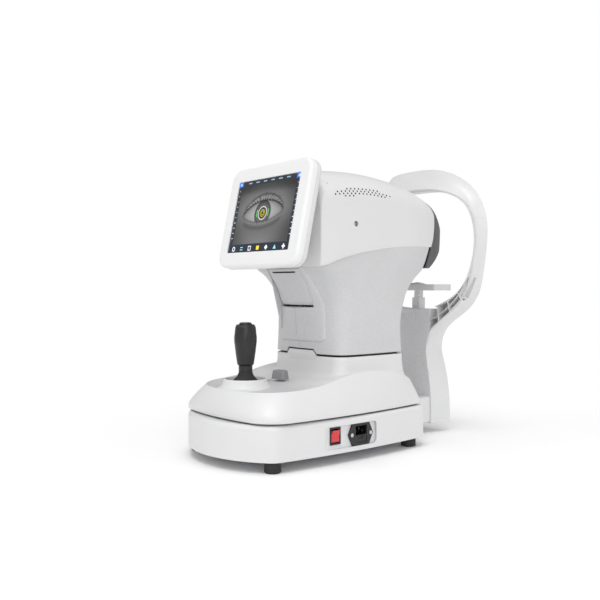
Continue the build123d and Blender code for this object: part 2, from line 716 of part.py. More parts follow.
# ---- printer ------------------------------------------------------------------------
def make_printer_door():
    """Door of the printer with the paper slot near its top."""
    y, z = DOOR_HINGE
    door = (neck_body(0) - neck_body(WALL)) & block(-DOOR_HALF, DOOR_HALF, -130, 0, *DOOR_Z)
    door -= block(-29.6, 29.6, -130, -60, 291.6, 293.8)
    for side in (-1, 1):
        door += rod(2.1, 5.6, (side * 10.8 - 2.8, y, z), "X")
    door -= rod(DOOR_PIN_R + RUN, 40, (-20, y, z), "X")
    for side in (-1, 1):
        door -= block(side * 16 - 2.4, side * 16 + 2.4, y - 8, y + 8, z - 4, z + 2.6)
    return door


def make_door_pin():
    """Hinge pin of the printer door, held in the printer tray."""
    y, z = DOOR_HINGE
    return rod(DOOR_PIN_R, 36, (-18, y, z), "X")


def make_printer_tray():
    """Moulded bay for the paper roll, with the cheeks that hold the rollers and ears for the door."""
    y, z = DOOR_HINGE
    tray = block(-34, 34, -66, -14, 226, 229) + block(-34, 34, -17, -14, 229, 276)
    for side in (-1, 1):
        inner, outer = sorted((side * 34, side * 38))
        tray += block(inner, outer, -64, -14, 226, 292)
        tray += block(inner, outer, -82, -60, 278, 292)
        tray += block(side * 16 - 2, side * 16 + 2, y, -60, z - 2.1, z + 2.1)
        tray += block(side * 16 - 2, side * 16 + 2, -66, -60, 228, z + 2.1)
        tray += rod(2.1, 4, (side * 16 - 2, y, z), "X")
        tray -= rod(DOOR_PIN_R, 8, (side * 16 - 4, y, z), "X")
        tray -= rod(3.0 + RUN, 12, (side * 36 - 6, *PLATEN), "X")
        tray -= rod(4.0 + RUN, 12, (side * 36 - 6, *PAPER), "X")
    return tray


def make_platen():
    """Rubber platen roller on its shaft."""
    return rod(4.6, 66, (-33, *PLATEN), "X") + rod(3.0, 76, (-38, *PLATEN), "X")


def make_print_head():
    """Thermal print head bar behind the platen."""
    return block(-32, 32, -72.2, -69.6, 274, 292) + block(-33.9, 33.9, -69.6, -66, 276, 290)


def make_paper_roll():
    """Roll of thermal paper on its core."""
    return rod(22.0, 57, (-28.5, *PAPER), "X") + rod(4.0, 76, (-38, *PAPER), "X")


# ---- monitor ------------------------------------------------------------------------
def monitor_plane(w):
    """Plane of the screen face, moved by w along its outward normal."""
    tilt = math.radians(MONITOR_TILT)
    normal = (0, -math.cos(tilt), math.sin(tilt))
    origin = tuple(a + w * b for a, b in zip(MONITOR_ORIGIN, normal))
    return Plane(origin=origin, x_dir=(1, 0, 0), z_dir=normal)


def monitor_point(v, w):
    """Point of the middle plane at height v up the face and w along its normal."""
    tilt = math.radians(MONITOR_TILT)
    y = MONITOR_ORIGIN[1] + v * math.sin(tilt) - w * math.cos(tilt)
    z = MONITOR_ORIGIN[2] + v * math.cos(tilt) + w * math.sin(tilt)
    return y, z


def monitor_slab(width, low, high, radius, w_front, w_rear):
    """Rounded slab in the monitor's own frame."""
    sketch = Pos(0, (low + high) / 2) * RectangleRounded(width, high - low, radius)
    return extrude(monitor_plane(w_front) * sketch, amount=w_rear - w_front)


def outward():
    """Axis along the outward normal of the screen."""
    plane = monitor_plane(0)
    return Axis(plane.origin, plane.z_dir)


def make_monitor_frame():
    """Front frame of the monitor with a soft edge."""
    frame = monitor_slab(MONITOR_W, MONITOR_LOW, MONITOR_HIGH, 22.0, 0, -12)
    frame = fillet(frame.faces().sort_by(outward())[-1].edges(), 5.0)
    frame -= monitor_slab(SCREEN_W, 0, SCREEN_H, 1.5, 1, -2)
    frame -= monitor_slab(172, -5, SCREEN_H + 5, 2.0, -2, -12)
    return frame


def make_monitor_back():
    """Rear cover of the monitor with the two hinge knuckles."""
    back = monitor_slab(MONITOR_W, MONITOR_LOW, MONITOR_HIGH, 22.0, -12, -MONITOR_T)
    back = fillet(back.faces().sort_by(outward())[0].edges(), 7.0)
    back -= monitor_slab(MONITOR_W - 8, MONITOR_LOW + 4, MONITOR_HIGH - 4, 18.0, -12, 3 - MONITOR_T)
    y, z = monitor_point(HINGE_V, HINGE_W)
    for side in (-1, 1):
        arm = monitor_slab(10, HINGE_V - 5, HINGE_V + 5, 0.5, 2 - MONITOR_T, HINGE_W)
        back += Pos(side * 27, 0, 0) * arm
        back += rod(KNUCKLE_R, 10, (side * 27 - 5, y, z), "X")
        back -= rod(PIN_R, 12, (side * 27 - 6, y, z), "X")
    return back


def make_lcd_glass():
    """Touch glass over the display."""
    return monitor_slab(171.6, -4.8, SCREEN_H + 4.8, 3.0, -2.0, -3.8)


def make_lcd_module():
    """Display module behind the glass."""
    return monitor_slab(170, -4, SCREEN_H + 4, 1.0, -3.8, -9.4)


def make_display_board():
    """Driver board of the display, on the back of the module."""
    board = monitor_slab(120, 22, 96, 1.0, -12.4, -14.0)
    for x in (-52, 52):
        for v in (30, 88):
            board += Pos(x, 0, 0) * monitor_slab(6, v - 3, v + 3, 2.9, -9.4, -12.4)
    return board


def make_hinge_pin():
    """Pin of the monitor hinge."""
    y, z = monitor_point(HINGE_V, HINGE_W)
    return rod(PIN_R, 66, (-33, y, z), "X")


def make_hinge_bracket():
    """Bracket on the head that carries the monitor hinge."""
    y, z = monitor_point(HINGE_V, HINGE_W)
    bracket = block(-36, 36, -106.0, -102.0, z - 18, z + 18)
    bracket = fillet(bracket.edges().filter_by(Axis.Y), 4.0)
    bracket += block(-21.6, 21.6, y, -104, z - 4.0, z + 4.0)
    bracket += rod(KNUCKLE_R, 43.2, (-21.6, y, z), "X")
    bracket -= rod(PIN_R + RUN, 50, (-25, y, z), "X")
    for x in (-29, 29):
        for dz in (-12, 12):
            bracket -= rod(1.8, 10, (x, -108, z + dz), "Y")
    return bracket


# ---- headrest -----------------------------------------------------------------------
HOOP_FRONT = [(0, 450), (83, 441.5), (136, 411), (151.5, 370), (147.5, 317), (140, 280), (124.5, 249),
              (94, 221), (64, 199.5), (46, 182), (40, 160), (45, 113), (51, 68), (53, 18)]
HOOP_REAR = [(0, 489.5), (80, 475), (137, 431), (154, 380), (149, 320), (142, 284), (132, 255),
             (110, 229), (71, 202), (53, 182), (46, 160), (55, 113), (61, 68), (61, 18)]
HOOP_HOLE = [(0, 445.5), (79, 439), (128, 413), (147, 365), (140, 305), (107, 256), (60, 233), (0, 228)]


def mirrored(points):
    """The same points on the other side, in reverse order."""
    return [(-x, z) for x, z in reversed(points)]


def hoop_rear_y(z):
    """Depth of the headrest's rear plane at height z."""
    (y_low, z_low), (y_high, z_high) = HOOP_REAR_LOW, HOOP_REAR_HIGH
    return y_low + (y_high - y_low) * (z - z_low) / (z_high - z_low)


def upright_face(y, edges):
    """Face in an upright plane at y, drawn in x and z."""
    return Plane(origin=(0, y, 0), x_dir=(1, 0, 0), z_dir=(0, -1, 0)) * make_face(Curve() + edges)


def hoop_edges(points):
    """Closed outline of the headrest from its right half."""
    left = mirrored(points)
    return [
        Spline(*points, tangents=[(1, 0), (0, -1)]),
        Line(points[-1], left[0]),
        Spline(*left, tangents=[(0, 1), (1, 0)]),
    ]


def hoop_opening():
    """Slab through the face opening of the hoop."""
    points = HOOP_HOLE
    left = mirrored(points)
    edges = [
        Spline(*points, tangents=[(1, 0), (-1, 0)]),
        Spline(*left, tangents=[(-1, 0), (1, 0)]),
    ]
    return extrude(upright_face(HOOP_FRONT_Y + 80, edges), amount=120)


def hoop_body():
    """Whole headrest, wider at the back than at the front."""
    (y_low, z_low), (y_high, z_high) = HOOP_REAR_LOW, HOOP_REAR_HIGH
    lean = math.atan2(y_low - y_high, z_high - z_low)
    rear_plane = Plane(origin=(0, y_low, z_low), x_dir=(1, 0, 0), z_dir=(0, -math.cos(lean), -math.sin(lean)))
    rear_points = [(x, (z - z_low) / math.cos(lean)) for x, z in HOOP_REAR]
    rear = rear_plane * make_face(Curve() + hoop_edges(rear_points))
    front = upright_face(HOOP_FRONT_Y, hoop_edges(HOOP_FRONT))
    return loft([front, rear]) - hoop_opening()


def crook_channels():
    """Ribbed pockets in the front of the crook, right side then left."""
    outline = Polyline((47.5, 190), (55, 196), (63, 202), (92.5, 223.5), (122, 250.5), (134, 271), (138, 287),
                       (135, 287), (127, 275), (108, 254), (92, 243.5), (74, 236), (47.5, 230), (47.5, 190))
    pocket = extrude(upright_face(HOOP_FRONT_Y + 20, [outline]), amount=30)
    rib_line = [(40, 207), (64, 214), (92, 233), (115, 255), (142, 296)]
    for (xa, za), (xb, zb) in zip(rib_line, rib_line[1:]):
        pocket -= rib(xa, za, xb, zb)
    for (xa, za), (xb, zb) in (((66, 240), (70, 200)), ((88, 248), (96, 220)), ((110, 262), (122, 243))):
        pocket -= rib(xa, za, xb, zb)
    return pocket, pocket.mirror(Plane.YZ)


def rib(xa, za, xb, zb, thick=1.6):
    """Thin upright web between two points of the front plane."""
    length = math.hypot(xb - xa, zb - za) + thick
    angle = math.degrees(math.atan2(zb - za, xb - xa))
    web = Rot(0, -angle, 0) * Box(length, 30, thick)
    return Pos((xa + xb) / 2, HOOP_FRONT_Y + 12, (za + zb) / 2) * web


def panel_region(y_low, y_high, shrink):
    """Region of the front panel on the column."""
    right = [(x - shrink, z) for x, z in HOOP_FRONT[8:13]]
    low, high = COLUMN_PANEL_Z
    upper = (43.0 - shrink, high)
    right[0] = upper
    edges = [
        Spline(*right),
        Line(right[-1], (-right[-1][0], right[-1][1])),
        Spline(*mirrored(right)),
        Line((-upper[0], high), upper),
    ]
    return extrude(upright_face(y_high, edges), amount=y_high - y_low)


def make_headrest():
    """Lower frame and forehead arch of the headrest."""
    body = hoop_body()
    for pocket in crook_channels():
        body -= pocket
    body -= panel_region(HOOP_FRONT_Y - 5, HOOP_FRONT_Y + 2.5, 0.0)
    body -= block(-33, 33, HOOP_FRONT_Y + 2.5, 239, 78, 168)
    body -= block(-SLEEVE_HALF, SLEEVE_HALF, CHIN_Y - SLEEVE_HALF, CHIN_Y + SLEEVE_HALF, 160, 260)
    body -= block(-41, 41, 190, 236, 20.0, 24.0)
    arch = body & block(-200, 200, 150, 300, SEAM_Z, 520)
    frame = body & block(-200, 200, 150, 300, 0, SEAM_Z)
    return frame, arch


def make_column_panel():
    """Textured front panel of the headrest column."""
    panel = panel_region(HOOP_FRONT_Y, HOOP_FRONT_Y + 2.4, 0.4)
    for x, z in ((-14, 218), (14, 218)):
        panel -= rod(1.9, 10, (x, HOOP_FRONT_Y - 4, z), "Y")
    return panel


def make_panel_screws():
    """Screws of the column panel."""
    return [rod(1.8, 6.0, (x, HOOP_FRONT_Y + 0.6, 218), "Y") & block(-50, 50, 200, 205.4, 200, 240)
            for x in (-14, 14)]


def make_headrest_arm():
    """Boxed arm between the base and the headrest column."""
    arm = block(-50, 50, BASE_REAR, HOOP_FRONT_Y, 19.0, 67.0)
    arm = fillet(arm.edges().filter_by(Axis.Y), 4.0)
    arm -= block(-46, 46, BASE_REAR - 1, HOOP_FRONT_Y + 1, 24.0, 63.0)
    arm -= block(-41, 41, BASE_REAR - 1, HOOP_FRONT_Y + 1, 20.0, 25.0)
    return arm


def make_arm_bracket():
    """Steel bar that joins the floor plate to the headrest column."""
    return block(-40, 40, 40, 234, 20.2, 23.6) + block(-40, 40, 40, 112, 19.5, 20.2)


def make_forehead_pad():
    """Soft pad on the rear of the arch."""
    low_z, high_z = 452.0, 480.0
    sketch = RectangleRounded(110, high_z - low_z, 12)
    y = hoop_rear_y(466)
    lean = math.atan2(HOOP_REAR_LOW[0] - HOOP_REAR_HIGH[0], HOOP_REAR_HIGH[1] - HOOP_REAR_LOW[1])
    plane = Plane(origin=(0, y, 466), x_dir=(1, 0, 0), z_dir=(0, math.cos(lean), math.sin(lean)))
    pad = extrude(plane * sketch, amount=7.0)
    return fillet(pad.faces().sort_by(Axis.Y)[-1].edges(), 3.0)


def make_eye_marks():
    """Eye level marks on the inner sides of the hoop."""
    marks = []
    for side in (-1, 1):
        marks.append(block(side * 143.2 - 1.0, side * 143.2 + 1.0, 212, 222, 381, 383) & hoop_opening())
    return marks


def make_chin_sleeve():
    """Square sleeve that guides the chin rest post."""
    sleeve = block(-SLEEVE_HALF, SLEEVE_HALF, CHIN_Y - SLEEVE_HALF, CHIN_Y + SLEEVE_HALF, 166, SLEEVE_TOP_Z)
    hole = POST_HALF + 0.15
    sleeve -= block(-hole, hole, CHIN_Y - hole, CHIN_Y + hole, 160, 260)
    return sleeve


def make_chin_post():
    """Square post with a bore for the screw."""
    post = block(-POST_HALF, POST_HALF, CHIN_Y - POST_HALF, CHIN_Y + POST_HALF, 180.0, CHIN_Z[0])
    post -= rod(3.6, 72, (0, CHIN_Y, 179.0))
    post -= rod(5.0, 10, (0, CHIN_Y, 179.0))
    return post


def make_chin_nut():
    """Brass nut in the foot of the post."""
    return tube(5.0, 3.0 + RUN, 9.0, (0, CHIN_Y, 180.0))


def make_chin_rest():
    """Chin plate with a raised lip on the instrument's side and a shallow dish."""
    plate = block(-CHIN_HALF, CHIN_HALF, CHIN_Y - CHIN_DEPTH / 2, CHIN_Y + CHIN_DEPTH / 2, *CHIN_Z)
    lip_edges = [
        Spline((-34, CHIN_Z[1]), (-20, CHIN_Z[1] + 3.4), (0, CHIN_Z[1] + 5.5), (20, CHIN_Z[1] + 3.4),
               (34, CHIN_Z[1]), tangents=[(1, 0.05), (1, -0.05)]),
        Line((34, CHIN_Z[1]), (-34, CHIN_Z[1])),
    ]
    front = CHIN_Y - CHIN_DEPTH / 2
    plate = fillet(plate.edges().filter_by(Axis.Z), 5.0)
    plate += extrude(upright_face(front + 11, lip_edges), amount=9)
    plate -= Pos(0, CHIN_Y + 10, CHIN_Z[1] + 76) * Sphere(80)
    return plate


def make_chin_motor():
    """Small geared motor in the column."""
    return rod(12.0, 44, (0, CHIN_Y - 6, 84.0)) + rod(7.0, 4, (0, CHIN_Y, 128.0))


def make_chin_screw():
    """Lead screw of the chin rest."""
    return rod(3.0, 108, (0, CHIN_Y, 132.3))


# ---- assembly -----------------------------------------------------------------------
def collect():
    """Every node by name."""
    left_cover, right_cover = make_column_covers()
    frame, arch = make_headrest()
    return {
        "base_tray": [make_base_tray()],
        "base_plate": [make_base_plate(), make_inlet_posts()],
        "rubber_feet": [make_feet()],
        "case_screws": [make_foot_screws(), make_inlet_screws(), make_panel_screws()],
        "slide_tracks": [make_y_rails(), make_friction_plate()],
        "power_supply": [make_power_supply()],
        "control_board": [make_control_board()],
        "inlet_panel": [make_inlet_panel()],
        "switch_body": [make_switch_body()],
        "power_rocker": [make_power_rocker()],
        "mains_inlet": [make_mains_inlet(), make_inlet_pins()],
        "fuse_drawer": [make_fuse_drawer()],
        "slide_bar": [make_slide_bar()],
        "cross_axle": [make_cross_axle(), make_slide_wheels()],
        "stage_plate": [make_stage_plate()],
        "slide_bushings": [make_slide_bushings(), make_lock_bush()],
        "stage_cover": [make_stage_cover()],
        "joystick_ring": [make_joystick_ring()],
        "gimbal_mount": [make_gimbal_mount()],
        "gimbal_ring": [make_gimbal_ring()],
        "joystick_shaft": [make_joystick_shaft()],
        "joystick_boot": [make_joystick_boot()],
        "joystick_grip": [make_joystick_grip()],
        "measure_button": [make_measure_button()],
        "lock_knob": [make_lock_knob()],
        "lift_motor": [make_lift_motor()],
        "guide_rods": [make_guide_rods(), make_rod_bases()],
        "lift_screw": [make_lift_screw()],
        "lift_shroud": [make_lift_shroud(), make_shroud_clips()],
        "column_cover_left": [left_cover],
        "column_cover_right": [right_cover],
        "head_shell": [make_head_shell()],
        "rear_bezel": [make_rear_bezel()],
        "measuring_window": [make_window_ring(), make_measuring_window()],
        "head_chassis": [make_head_chassis()],
        "lift_bearings": [make_lift_bearings(), make_lift_nut()],
        "optical_bench": [make_optical_bench(), make_barrel_cradle()],
        "objective_barrel": [make_objective_barrel(), make_light_ring()],
        "objective_lens": [make_objective_lens()],
        "camera_module": [make_camera_module()],
        "fixation_unit": [make_fixation_unit()],
        "head_board": [make_head_board()],
        "printer_door": [make_printer_door()],
        "printer_tray": [make_printer_tray(), make_door_pin(), make_print_head()],
        "platen_roller": [make_platen()],
        "paper_roll": [make_paper_roll()],
        "monitor_frame": [make_monitor_frame()],
        "monitor_back": [make_monitor_back(), make_hinge_pin()],
        "screen_glass": [make_lcd_glass()],
        "display_module": [make_lcd_module(), make_display_board()],
        "monitor_bracket": [make_hinge_bracket()],
        "headrest_frame": [frame],
        "forehead_arch": [arch, make_eye_marks()],
        "column_panel": [make_column_panel()],
        "headrest_arm": [make_headrest_arm(), make_arm_bracket()],
        "forehead_pad": [make_forehead_pad()],
        "chin_sleeve": [make_chin_sleeve(), make_chin_motor()],
        "chin_post": [make_chin_post(), make_chin_nut()],
        "chin_rest": [make_chin_rest()],
        "chin_screw": [make_chin_screw()],
    }


def flat(shapes):
    """Solids of a nested list of shapes."""
    if isinstance(shapes, (list, tuple)):
        return [solid for item in shapes for solid in flat(item)]
    return list(shapes.solids())


def write(parts):
    """One STEP file per node."""
    os.makedirs("parts", exist_ok=True)
    for name, shapes in parts.items():
        solids = flat(shapes)
        export_step(Compound(children=solids) if len(solids) > 1 else solids[0], f"parts/{name}.step")


write(collect())
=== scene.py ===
"""Looks of the autorefractor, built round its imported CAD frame; shapes are given in millimetres."""
import json
import math

import bmesh
import bpy
import numpy as np
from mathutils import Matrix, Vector


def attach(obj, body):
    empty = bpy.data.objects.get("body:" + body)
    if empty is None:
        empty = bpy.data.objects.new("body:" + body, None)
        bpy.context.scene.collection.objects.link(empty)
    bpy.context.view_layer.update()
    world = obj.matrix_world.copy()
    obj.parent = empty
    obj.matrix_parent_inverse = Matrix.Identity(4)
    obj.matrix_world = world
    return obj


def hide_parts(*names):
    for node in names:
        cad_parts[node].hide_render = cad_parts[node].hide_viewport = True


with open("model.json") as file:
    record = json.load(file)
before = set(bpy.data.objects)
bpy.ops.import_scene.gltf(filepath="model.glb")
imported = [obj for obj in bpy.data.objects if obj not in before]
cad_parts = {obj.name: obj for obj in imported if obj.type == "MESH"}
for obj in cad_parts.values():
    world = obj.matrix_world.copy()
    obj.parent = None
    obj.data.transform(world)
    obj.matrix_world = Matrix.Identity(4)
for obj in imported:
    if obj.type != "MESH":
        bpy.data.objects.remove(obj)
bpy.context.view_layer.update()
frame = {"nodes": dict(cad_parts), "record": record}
NODES = frame["nodes"]
MM = 0.001


# ---- materials ----------------------------------------------------------------------
def new_material(name):
    """Material with its node tree and its Principled shader."""
    material = bpy.data.materials.new(name)
    material.use_nodes = True
    return material, material.node_tree, material.node_tree.nodes["Principled BSDF"]


def join(tree, source, output, target, socket):
    """Links one node's output to another node's input."""
    tree.links.new(source.outputs[output], target.inputs[socket])


def set_inputs(node, values):
    """Sets a node's input sockets."""
    for socket, value in values.items():
        node.inputs[socket].default_value = value


def noise(tree, scale, detail=2.0, rough=0.5):
    """Noise over the piece's own coordinates."""
    coords = tree.nodes.new("ShaderNodeTexCoord")
    node = tree.nodes.new("ShaderNodeTexNoise")
    set_inputs(node, {"Scale": scale, "Detail": detail, "Roughness": rough})
    join(tree, coords, "Object", node, "Vector")
    return node


def ramp(tree, source, low, high, start=0.3, end=0.7):
    """Grey or coloured ramp of a noise value."""
    node = tree.nodes.new("ShaderNodeValToRGB")
    node.color_ramp.elements[0].position = start
    node.color_ramp.elements[1].position = end
    node.color_ramp.elements[0].color = low
    node.color_ramp.elements[1].color = high
    tree.links.new(source, node.inputs["Fac"])
    return node


def grey(value):
    """Opaque grey."""
    return (value, value, value, 1.0)


def finish_surface(tree, shader, grain, depth, edge):
    """Fine bump over a rounded-edge normal, so that small edges catch light."""
    bevel = tree.nodes.new("ShaderNodeBevel")
    bevel.samples = 4
    set_inputs(bevel, {"Radius": edge})
    bump = tree.nodes.new("ShaderNodeBump")
    set_inputs(bump, {"Strength": 1.0, "Distance": depth})
    join(tree, noise(tree, grain, 3.0, 0.6), "Fac", bump, "Height")
    join(tree, bevel, "Normal", bump, "Normal")
    join(tree, bump, "Normal", shader, "Normal")


def plastic(name, colour, rough, grain=900.0, depth=0.00002, coat=0.0, edge=0.0006, spread=0.06, tint=0.03,
            speckle=0.0):
    """Moulded plastic: faint colour drift, uneven gloss and moulded grain."""
    material, tree, shader = new_material(name)
    low = tuple(c * (1.0 - tint) for c in colour) + (1.0,)
    high = tuple(min(1.0, c * (1.0 + tint)) for c in colour) + (1.0,)
    drift = ramp(tree, noise(tree, 9.0, 3.0).outputs["Fac"], low, high)
    smears = noise(tree, 38.0, 5.0, 0.65).outputs["Fac"]
    gloss = ramp(tree, smears, grey(rough - spread), grey(rough + spread))
    colour_out = drift.outputs["Color"]
    if speckle:
        spots = noise(tree, 520.0, 2.0, 0.7).outputs["Fac"]
        grains = ramp(tree, spots, grey(1.0 - speckle), grey(1.0), 0.35, 0.6)
        mix = tree.nodes.new("ShaderNodeMix")
        mix.data_type = "RGBA"
        mix.blend_type = "MULTIPLY"
        set_inputs(mix, {0: 1.0})
        join(tree, drift, "Color", mix, 6)
        join(tree, grains, "Color", mix, 7)
        colour_out = mix.outputs[2]
    tree.links.new(colour_out, shader.inputs["Base Color"])
    join(tree, gloss, "Color", shader, "Roughness")
    set_inputs(shader, {"IOR": 1.5, "Coat Weight": coat, "Coat Roughness": 0.12})
    finish_surface(tree, shader, grain, depth, edge)
    return material


def metal(name, colour, rough, stretch=(1.0, 1.0, 1.0), edge=0.0003):
    """Machined or brushed metal with directional marks."""
    material, tree, shader = new_material(name)
    coords = tree.nodes.new("ShaderNodeTexCoord")
    mapping = tree.nodes.new("ShaderNodeMapping")
    set_inputs(mapping, {"Scale": stretch})
    marks = tree.nodes.new("ShaderNodeTexNoise")
    set_inputs(marks, {"Scale": 900.0, "Detail": 3.0})
    join(tree, coords, "Object", mapping, "Vector")
    join(tree, mapping, "Vector", marks, "Vector")
    gloss = ramp(tree, marks.outputs["Fac"], grey(max(0.05, rough - 0.1)), grey(rough + 0.12))
    join(tree, gloss, "Color", shader, "Roughness")
    set_inputs(shader, {"Base Color": tuple(colour) + (1.0,), "Metallic": 1.0})
    finish_surface(tree, shader, 1500.0, 0.000008, edge)
    return material


def deck_shade_material():
    """Textured deck with painted shade: greyer round the joystick well, where shade and a dark reflection are
    painted into its colour, and whitening towards the column.
    """
    material = plastic("deck_painted_shade", (0.55, 0.55, 0.56), 0.5, 1400.0, 0.00007)
    tree = material.node_tree
    shader = tree.nodes["Principled BSDF"]
    drift = shader.inputs["Base Color"].links[0].from_socket
    coords = tree.nodes.new("ShaderNodeTexCoord")
    split = tree.nodes.new("ShaderNodeSeparateXYZ")
    fade = tree.nodes.new("ShaderNodeMapRange")
    fade.interpolation_type = "SMOOTHSTEP"
    set_inputs(fade, {"From Min": DECK_SHADE_FULL_TO * MM, "From Max": DECK_SHADE_GONE_FROM * MM})
    mix = tree.nodes.new("ShaderNodeMix")
    mix.data_type = "RGBA"
    join(tree, coords, "Object", split, 0)
    join(tree, split, "Y", fade, "Value")
    join(tree, fade, "Result", mix, 0)
    tree.links.new(drift, mix.inputs[6])
    # Mixes from the painted-shade grey at the front to the deck's own white towards the column
    set_inputs(mix, {7: (0.72, 0.72, 0.725, 1.0)})
    join(tree, mix, 2, shader, "Base Color")
    return material


def glass_material():
    """Dark coated glass of the measuring window."""
    material, tree, shader = new_material("glass")
    set_inputs(shader, {"Base Color": (0.05, 0.06, 0.09, 1.0), "Roughness": 0.04, "Coat Weight": 1.0,
                        "Coat Tint": (0.75, 0.8, 1.0, 1.0)})
    finish_surface(tree, shader, 300.0, 0.000002, 0.0003)
    return material


PLASTICS = {
    "white_gloss": dict(colour=(0.71, 0.71, 0.715), rough=0.30, depth=0.000003, edge=0.0008, spread=0.012,
                        tint=0.015),
    "white_satin": dict(colour=(0.71, 0.71, 0.715), rough=0.34, grain=1100.0, depth=0.000008, edge=0.0008,
                        spread=0.02, tint=0.015),
    # Column covers' textured white, darker than the shell's white partly for the textured plastic's own tone
    # and partly as painted shade of the overhang under the crease
    "white_texture": dict(colour=(0.61, 0.61, 0.62), rough=0.52, grain=1500.0, depth=0.00013, edge=0.0008,
                          speckle=0.09),
    # Lit copy of the white plastic for the monitor frame: brighter than the shell's white, as painted light
    # for the strong front light on the monitor
    "monitor_lit_white": dict(colour=(0.84, 0.84, 0.845), rough=0.32, depth=0.000004, edge=0.001, spread=0.012,
                          tint=0.008),
    "panel_grey": dict(colour=(0.73, 0.73, 0.74), rough=0.55, grain=1400.0, depth=0.0001, speckle=0.12),
    "knob_grey": dict(colour=(0.27, 0.27, 0.28), rough=0.45, grain=1200.0, depth=0.00004),
    "bezel_grey": dict(colour=(0.10, 0.10, 0.105), rough=0.42, grain=1200.0, depth=0.00003),
    "charcoal": dict(colour=(0.013, 0.013, 0.015), rough=0.42, grain=1300.0, depth=0.00005),
    "black_plastic": dict(colour=(0.012, 0.012, 0.013), rough=0.32, grain=1100.0),
    "red_plastic": dict(colour=(0.62, 0.02, 0.03), rough=0.22, grain=700.0, depth=0.000006, coat=0.4),
    "rubber": dict(colour=(0.018, 0.018, 0.019), rough=0.72, grain=1500.0, depth=0.00006, spread=0.1),
    "board": dict(colour=(0.02, 0.16, 0.07), rough=0.35, grain=600.0, depth=0.00004),
    "pad": dict(colour=(0.055, 0.056, 0.06), rough=0.5, grain=700.0, depth=0.00025, spread=0.12),
    "paper": dict(colour=(0.85, 0.85, 0.82), rough=0.8, grain=2200.0, depth=0.00004),
    "display": dict(colour=(0.02, 0.02, 0.024), rough=0.12, grain=500.0, depth=0.000003, coat=0.5),
}
METALS = {
    "steel": ((0.58, 0.59, 0.61), 0.28, (1.0, 1.0, 0.05)),
    "aluminium": ((0.66, 0.67, 0.68), 0.38, (0.05, 1.0, 1.0)),
    "brass": ((0.66, 0.47, 0.20), 0.30, (1.0, 1.0, 0.05)),
}
# Materials in place of the nodes' slots: the monitor frame gets a lit copy of the white plastic as painted
# light, and the lift shroud gets charcoal as painted shade in the gap between collar and column
PAINTED_LIGHT_AND_SHADE_LOOKS = {"monitor_frame": "monitor_lit_white", "lift_shroud": "charcoal"}
# y in mm where the deck's painted shade is full and where it has faded to white
DECK_SHADE_FULL_TO, DECK_SHADE_GONE_FROM = -150.0, -85.0


def make_materials():
    """Every material of the scene by name."""
    made = {name: plastic(name, **look) for name, look in PLASTICS.items()}
    made.update({name: metal(name, *look) for name, look in METALS.items()})
    made["deck_painted_shade"] = deck_shade_material()
    made["glass"] = glass_material()
    return made


MATERIALS = make_materials()


def paint_nodes():
    """Gives every CAD node the material of its slot."""
    for part in frame["record"]["subparts"]:
        node = NODES[part["node"]]
        node.data.materials.clear()
        node.data.materials.append(MATERIALS[PAINTED_LIGHT_AND_SHADE_LOOKS.get(part["node"], part["material_slot"])])


# ---- mesh helpers -------------------------------------------------------------------
def mesh_object(name, verts, faces):
    """Object from points in millimetres; faces may be polygons."""
    mesh = bpy.data.meshes.new(name)
    mesh.from_pydata([tuple(float(c) * MM for c in v) for v in verts], [], [tuple(f) for f in faces])
    made = bpy.data.objects.new(name, mesh)
    bpy.context.scene.collection.objects.link(made)
    return made


def mesh_piece(name, verts, faces, material, body, node, slot, sharp):
    """Visible piece on a body, in place of a CAD node where one is named."""
    piece = mesh_object(name, verts, faces)
    piece.data.validate()
    piece.data.materials.append(MATERIALS[material])
    tidy(piece, sharp)
    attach(piece, body)
    if node:
        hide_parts(node)
    return piece


def tidy(piece, sharp):
    """Outward faces, smooth shading and sharp edges over an angle."""
    shape = bmesh.new()
    shape.from_mesh(piece.data)
    bmesh.ops.remove_doubles(shape, verts=shape.verts, dist=1e-6)
    bmesh.ops.recalc_face_normals(shape, faces=shape.faces)
    limit = math.radians(sharp)
    for face in shape.faces:
        face.smooth = True
    for edge in shape.edges:
        edge.smooth = len(edge.link_faces) == 2 and edge.calc_face_angle(0.0) < limit
    shape.to_mesh(piece.data)
    shape.free()


def loft_faces(count, rings, closed=True, wrap=True):
    """Quads between successive rings of count points."""
    faces = []
    last = rings if wrap else rings - 1
    span = count if closed else count - 1
    for k in range(last):
        a, b = k * count, ((k + 1) % rings) * count
        for i in range(span):
            j = (i + 1) % count
            faces.append((a + i, a + j, b + j, b + i))
    return faces


def end_capped(count, rings):
    """Faces of a loft of open length whose first and last rings are closed by a polygon."""
    last = (rings - 1) * count
    return loft_faces(count, rings, True, False) + [tuple(range(count)), tuple(range(last, last + count))]


def boolean(piece, cutter, operation="DIFFERENCE"):
    """Applies a cutter to a piece and deletes the cutter."""
    modifier = piece.modifiers.new("cut", "BOOLEAN")
    modifier.object = cutter
    modifier.operation = operation
    modifier.solver = "EXACT"
    bpy.context.view_layer.update()
    graph = bpy.context.evaluated_depsgraph_get()
    result = bpy.data.meshes.new_from_object(piece.evaluated_get(graph))
    piece.modifiers.remove(modifier)
    piece.data = result
    bpy.data.objects.remove(cutter)


def keep_side(piece, side, gap):
    """Keeps the part of a closed piece past x = side * gap and closes the cut."""
    shape = bmesh.new()
    shape.from_mesh(piece.data)
    whole = shape.verts[:] + shape.edges[:] + shape.faces[:]
    place, normal = (side * gap * MM, 0, 0), (-side, 0, 0)
    cut = bmesh.ops.bisect_plane(shape, geom=whole, plane_co=place, plane_no=normal, clear_outer=True)
    rim = [part for part in cut["geom_cut"] if isinstance(part, bmesh.types.BMEdge)]
    bmesh.ops.holes_fill(shape, edges=rim, sides=0)
    bmesh.ops.recalc_face_normals(shape, faces=shape.faces)
    shape.to_mesh(piece.data)
    shape.free()


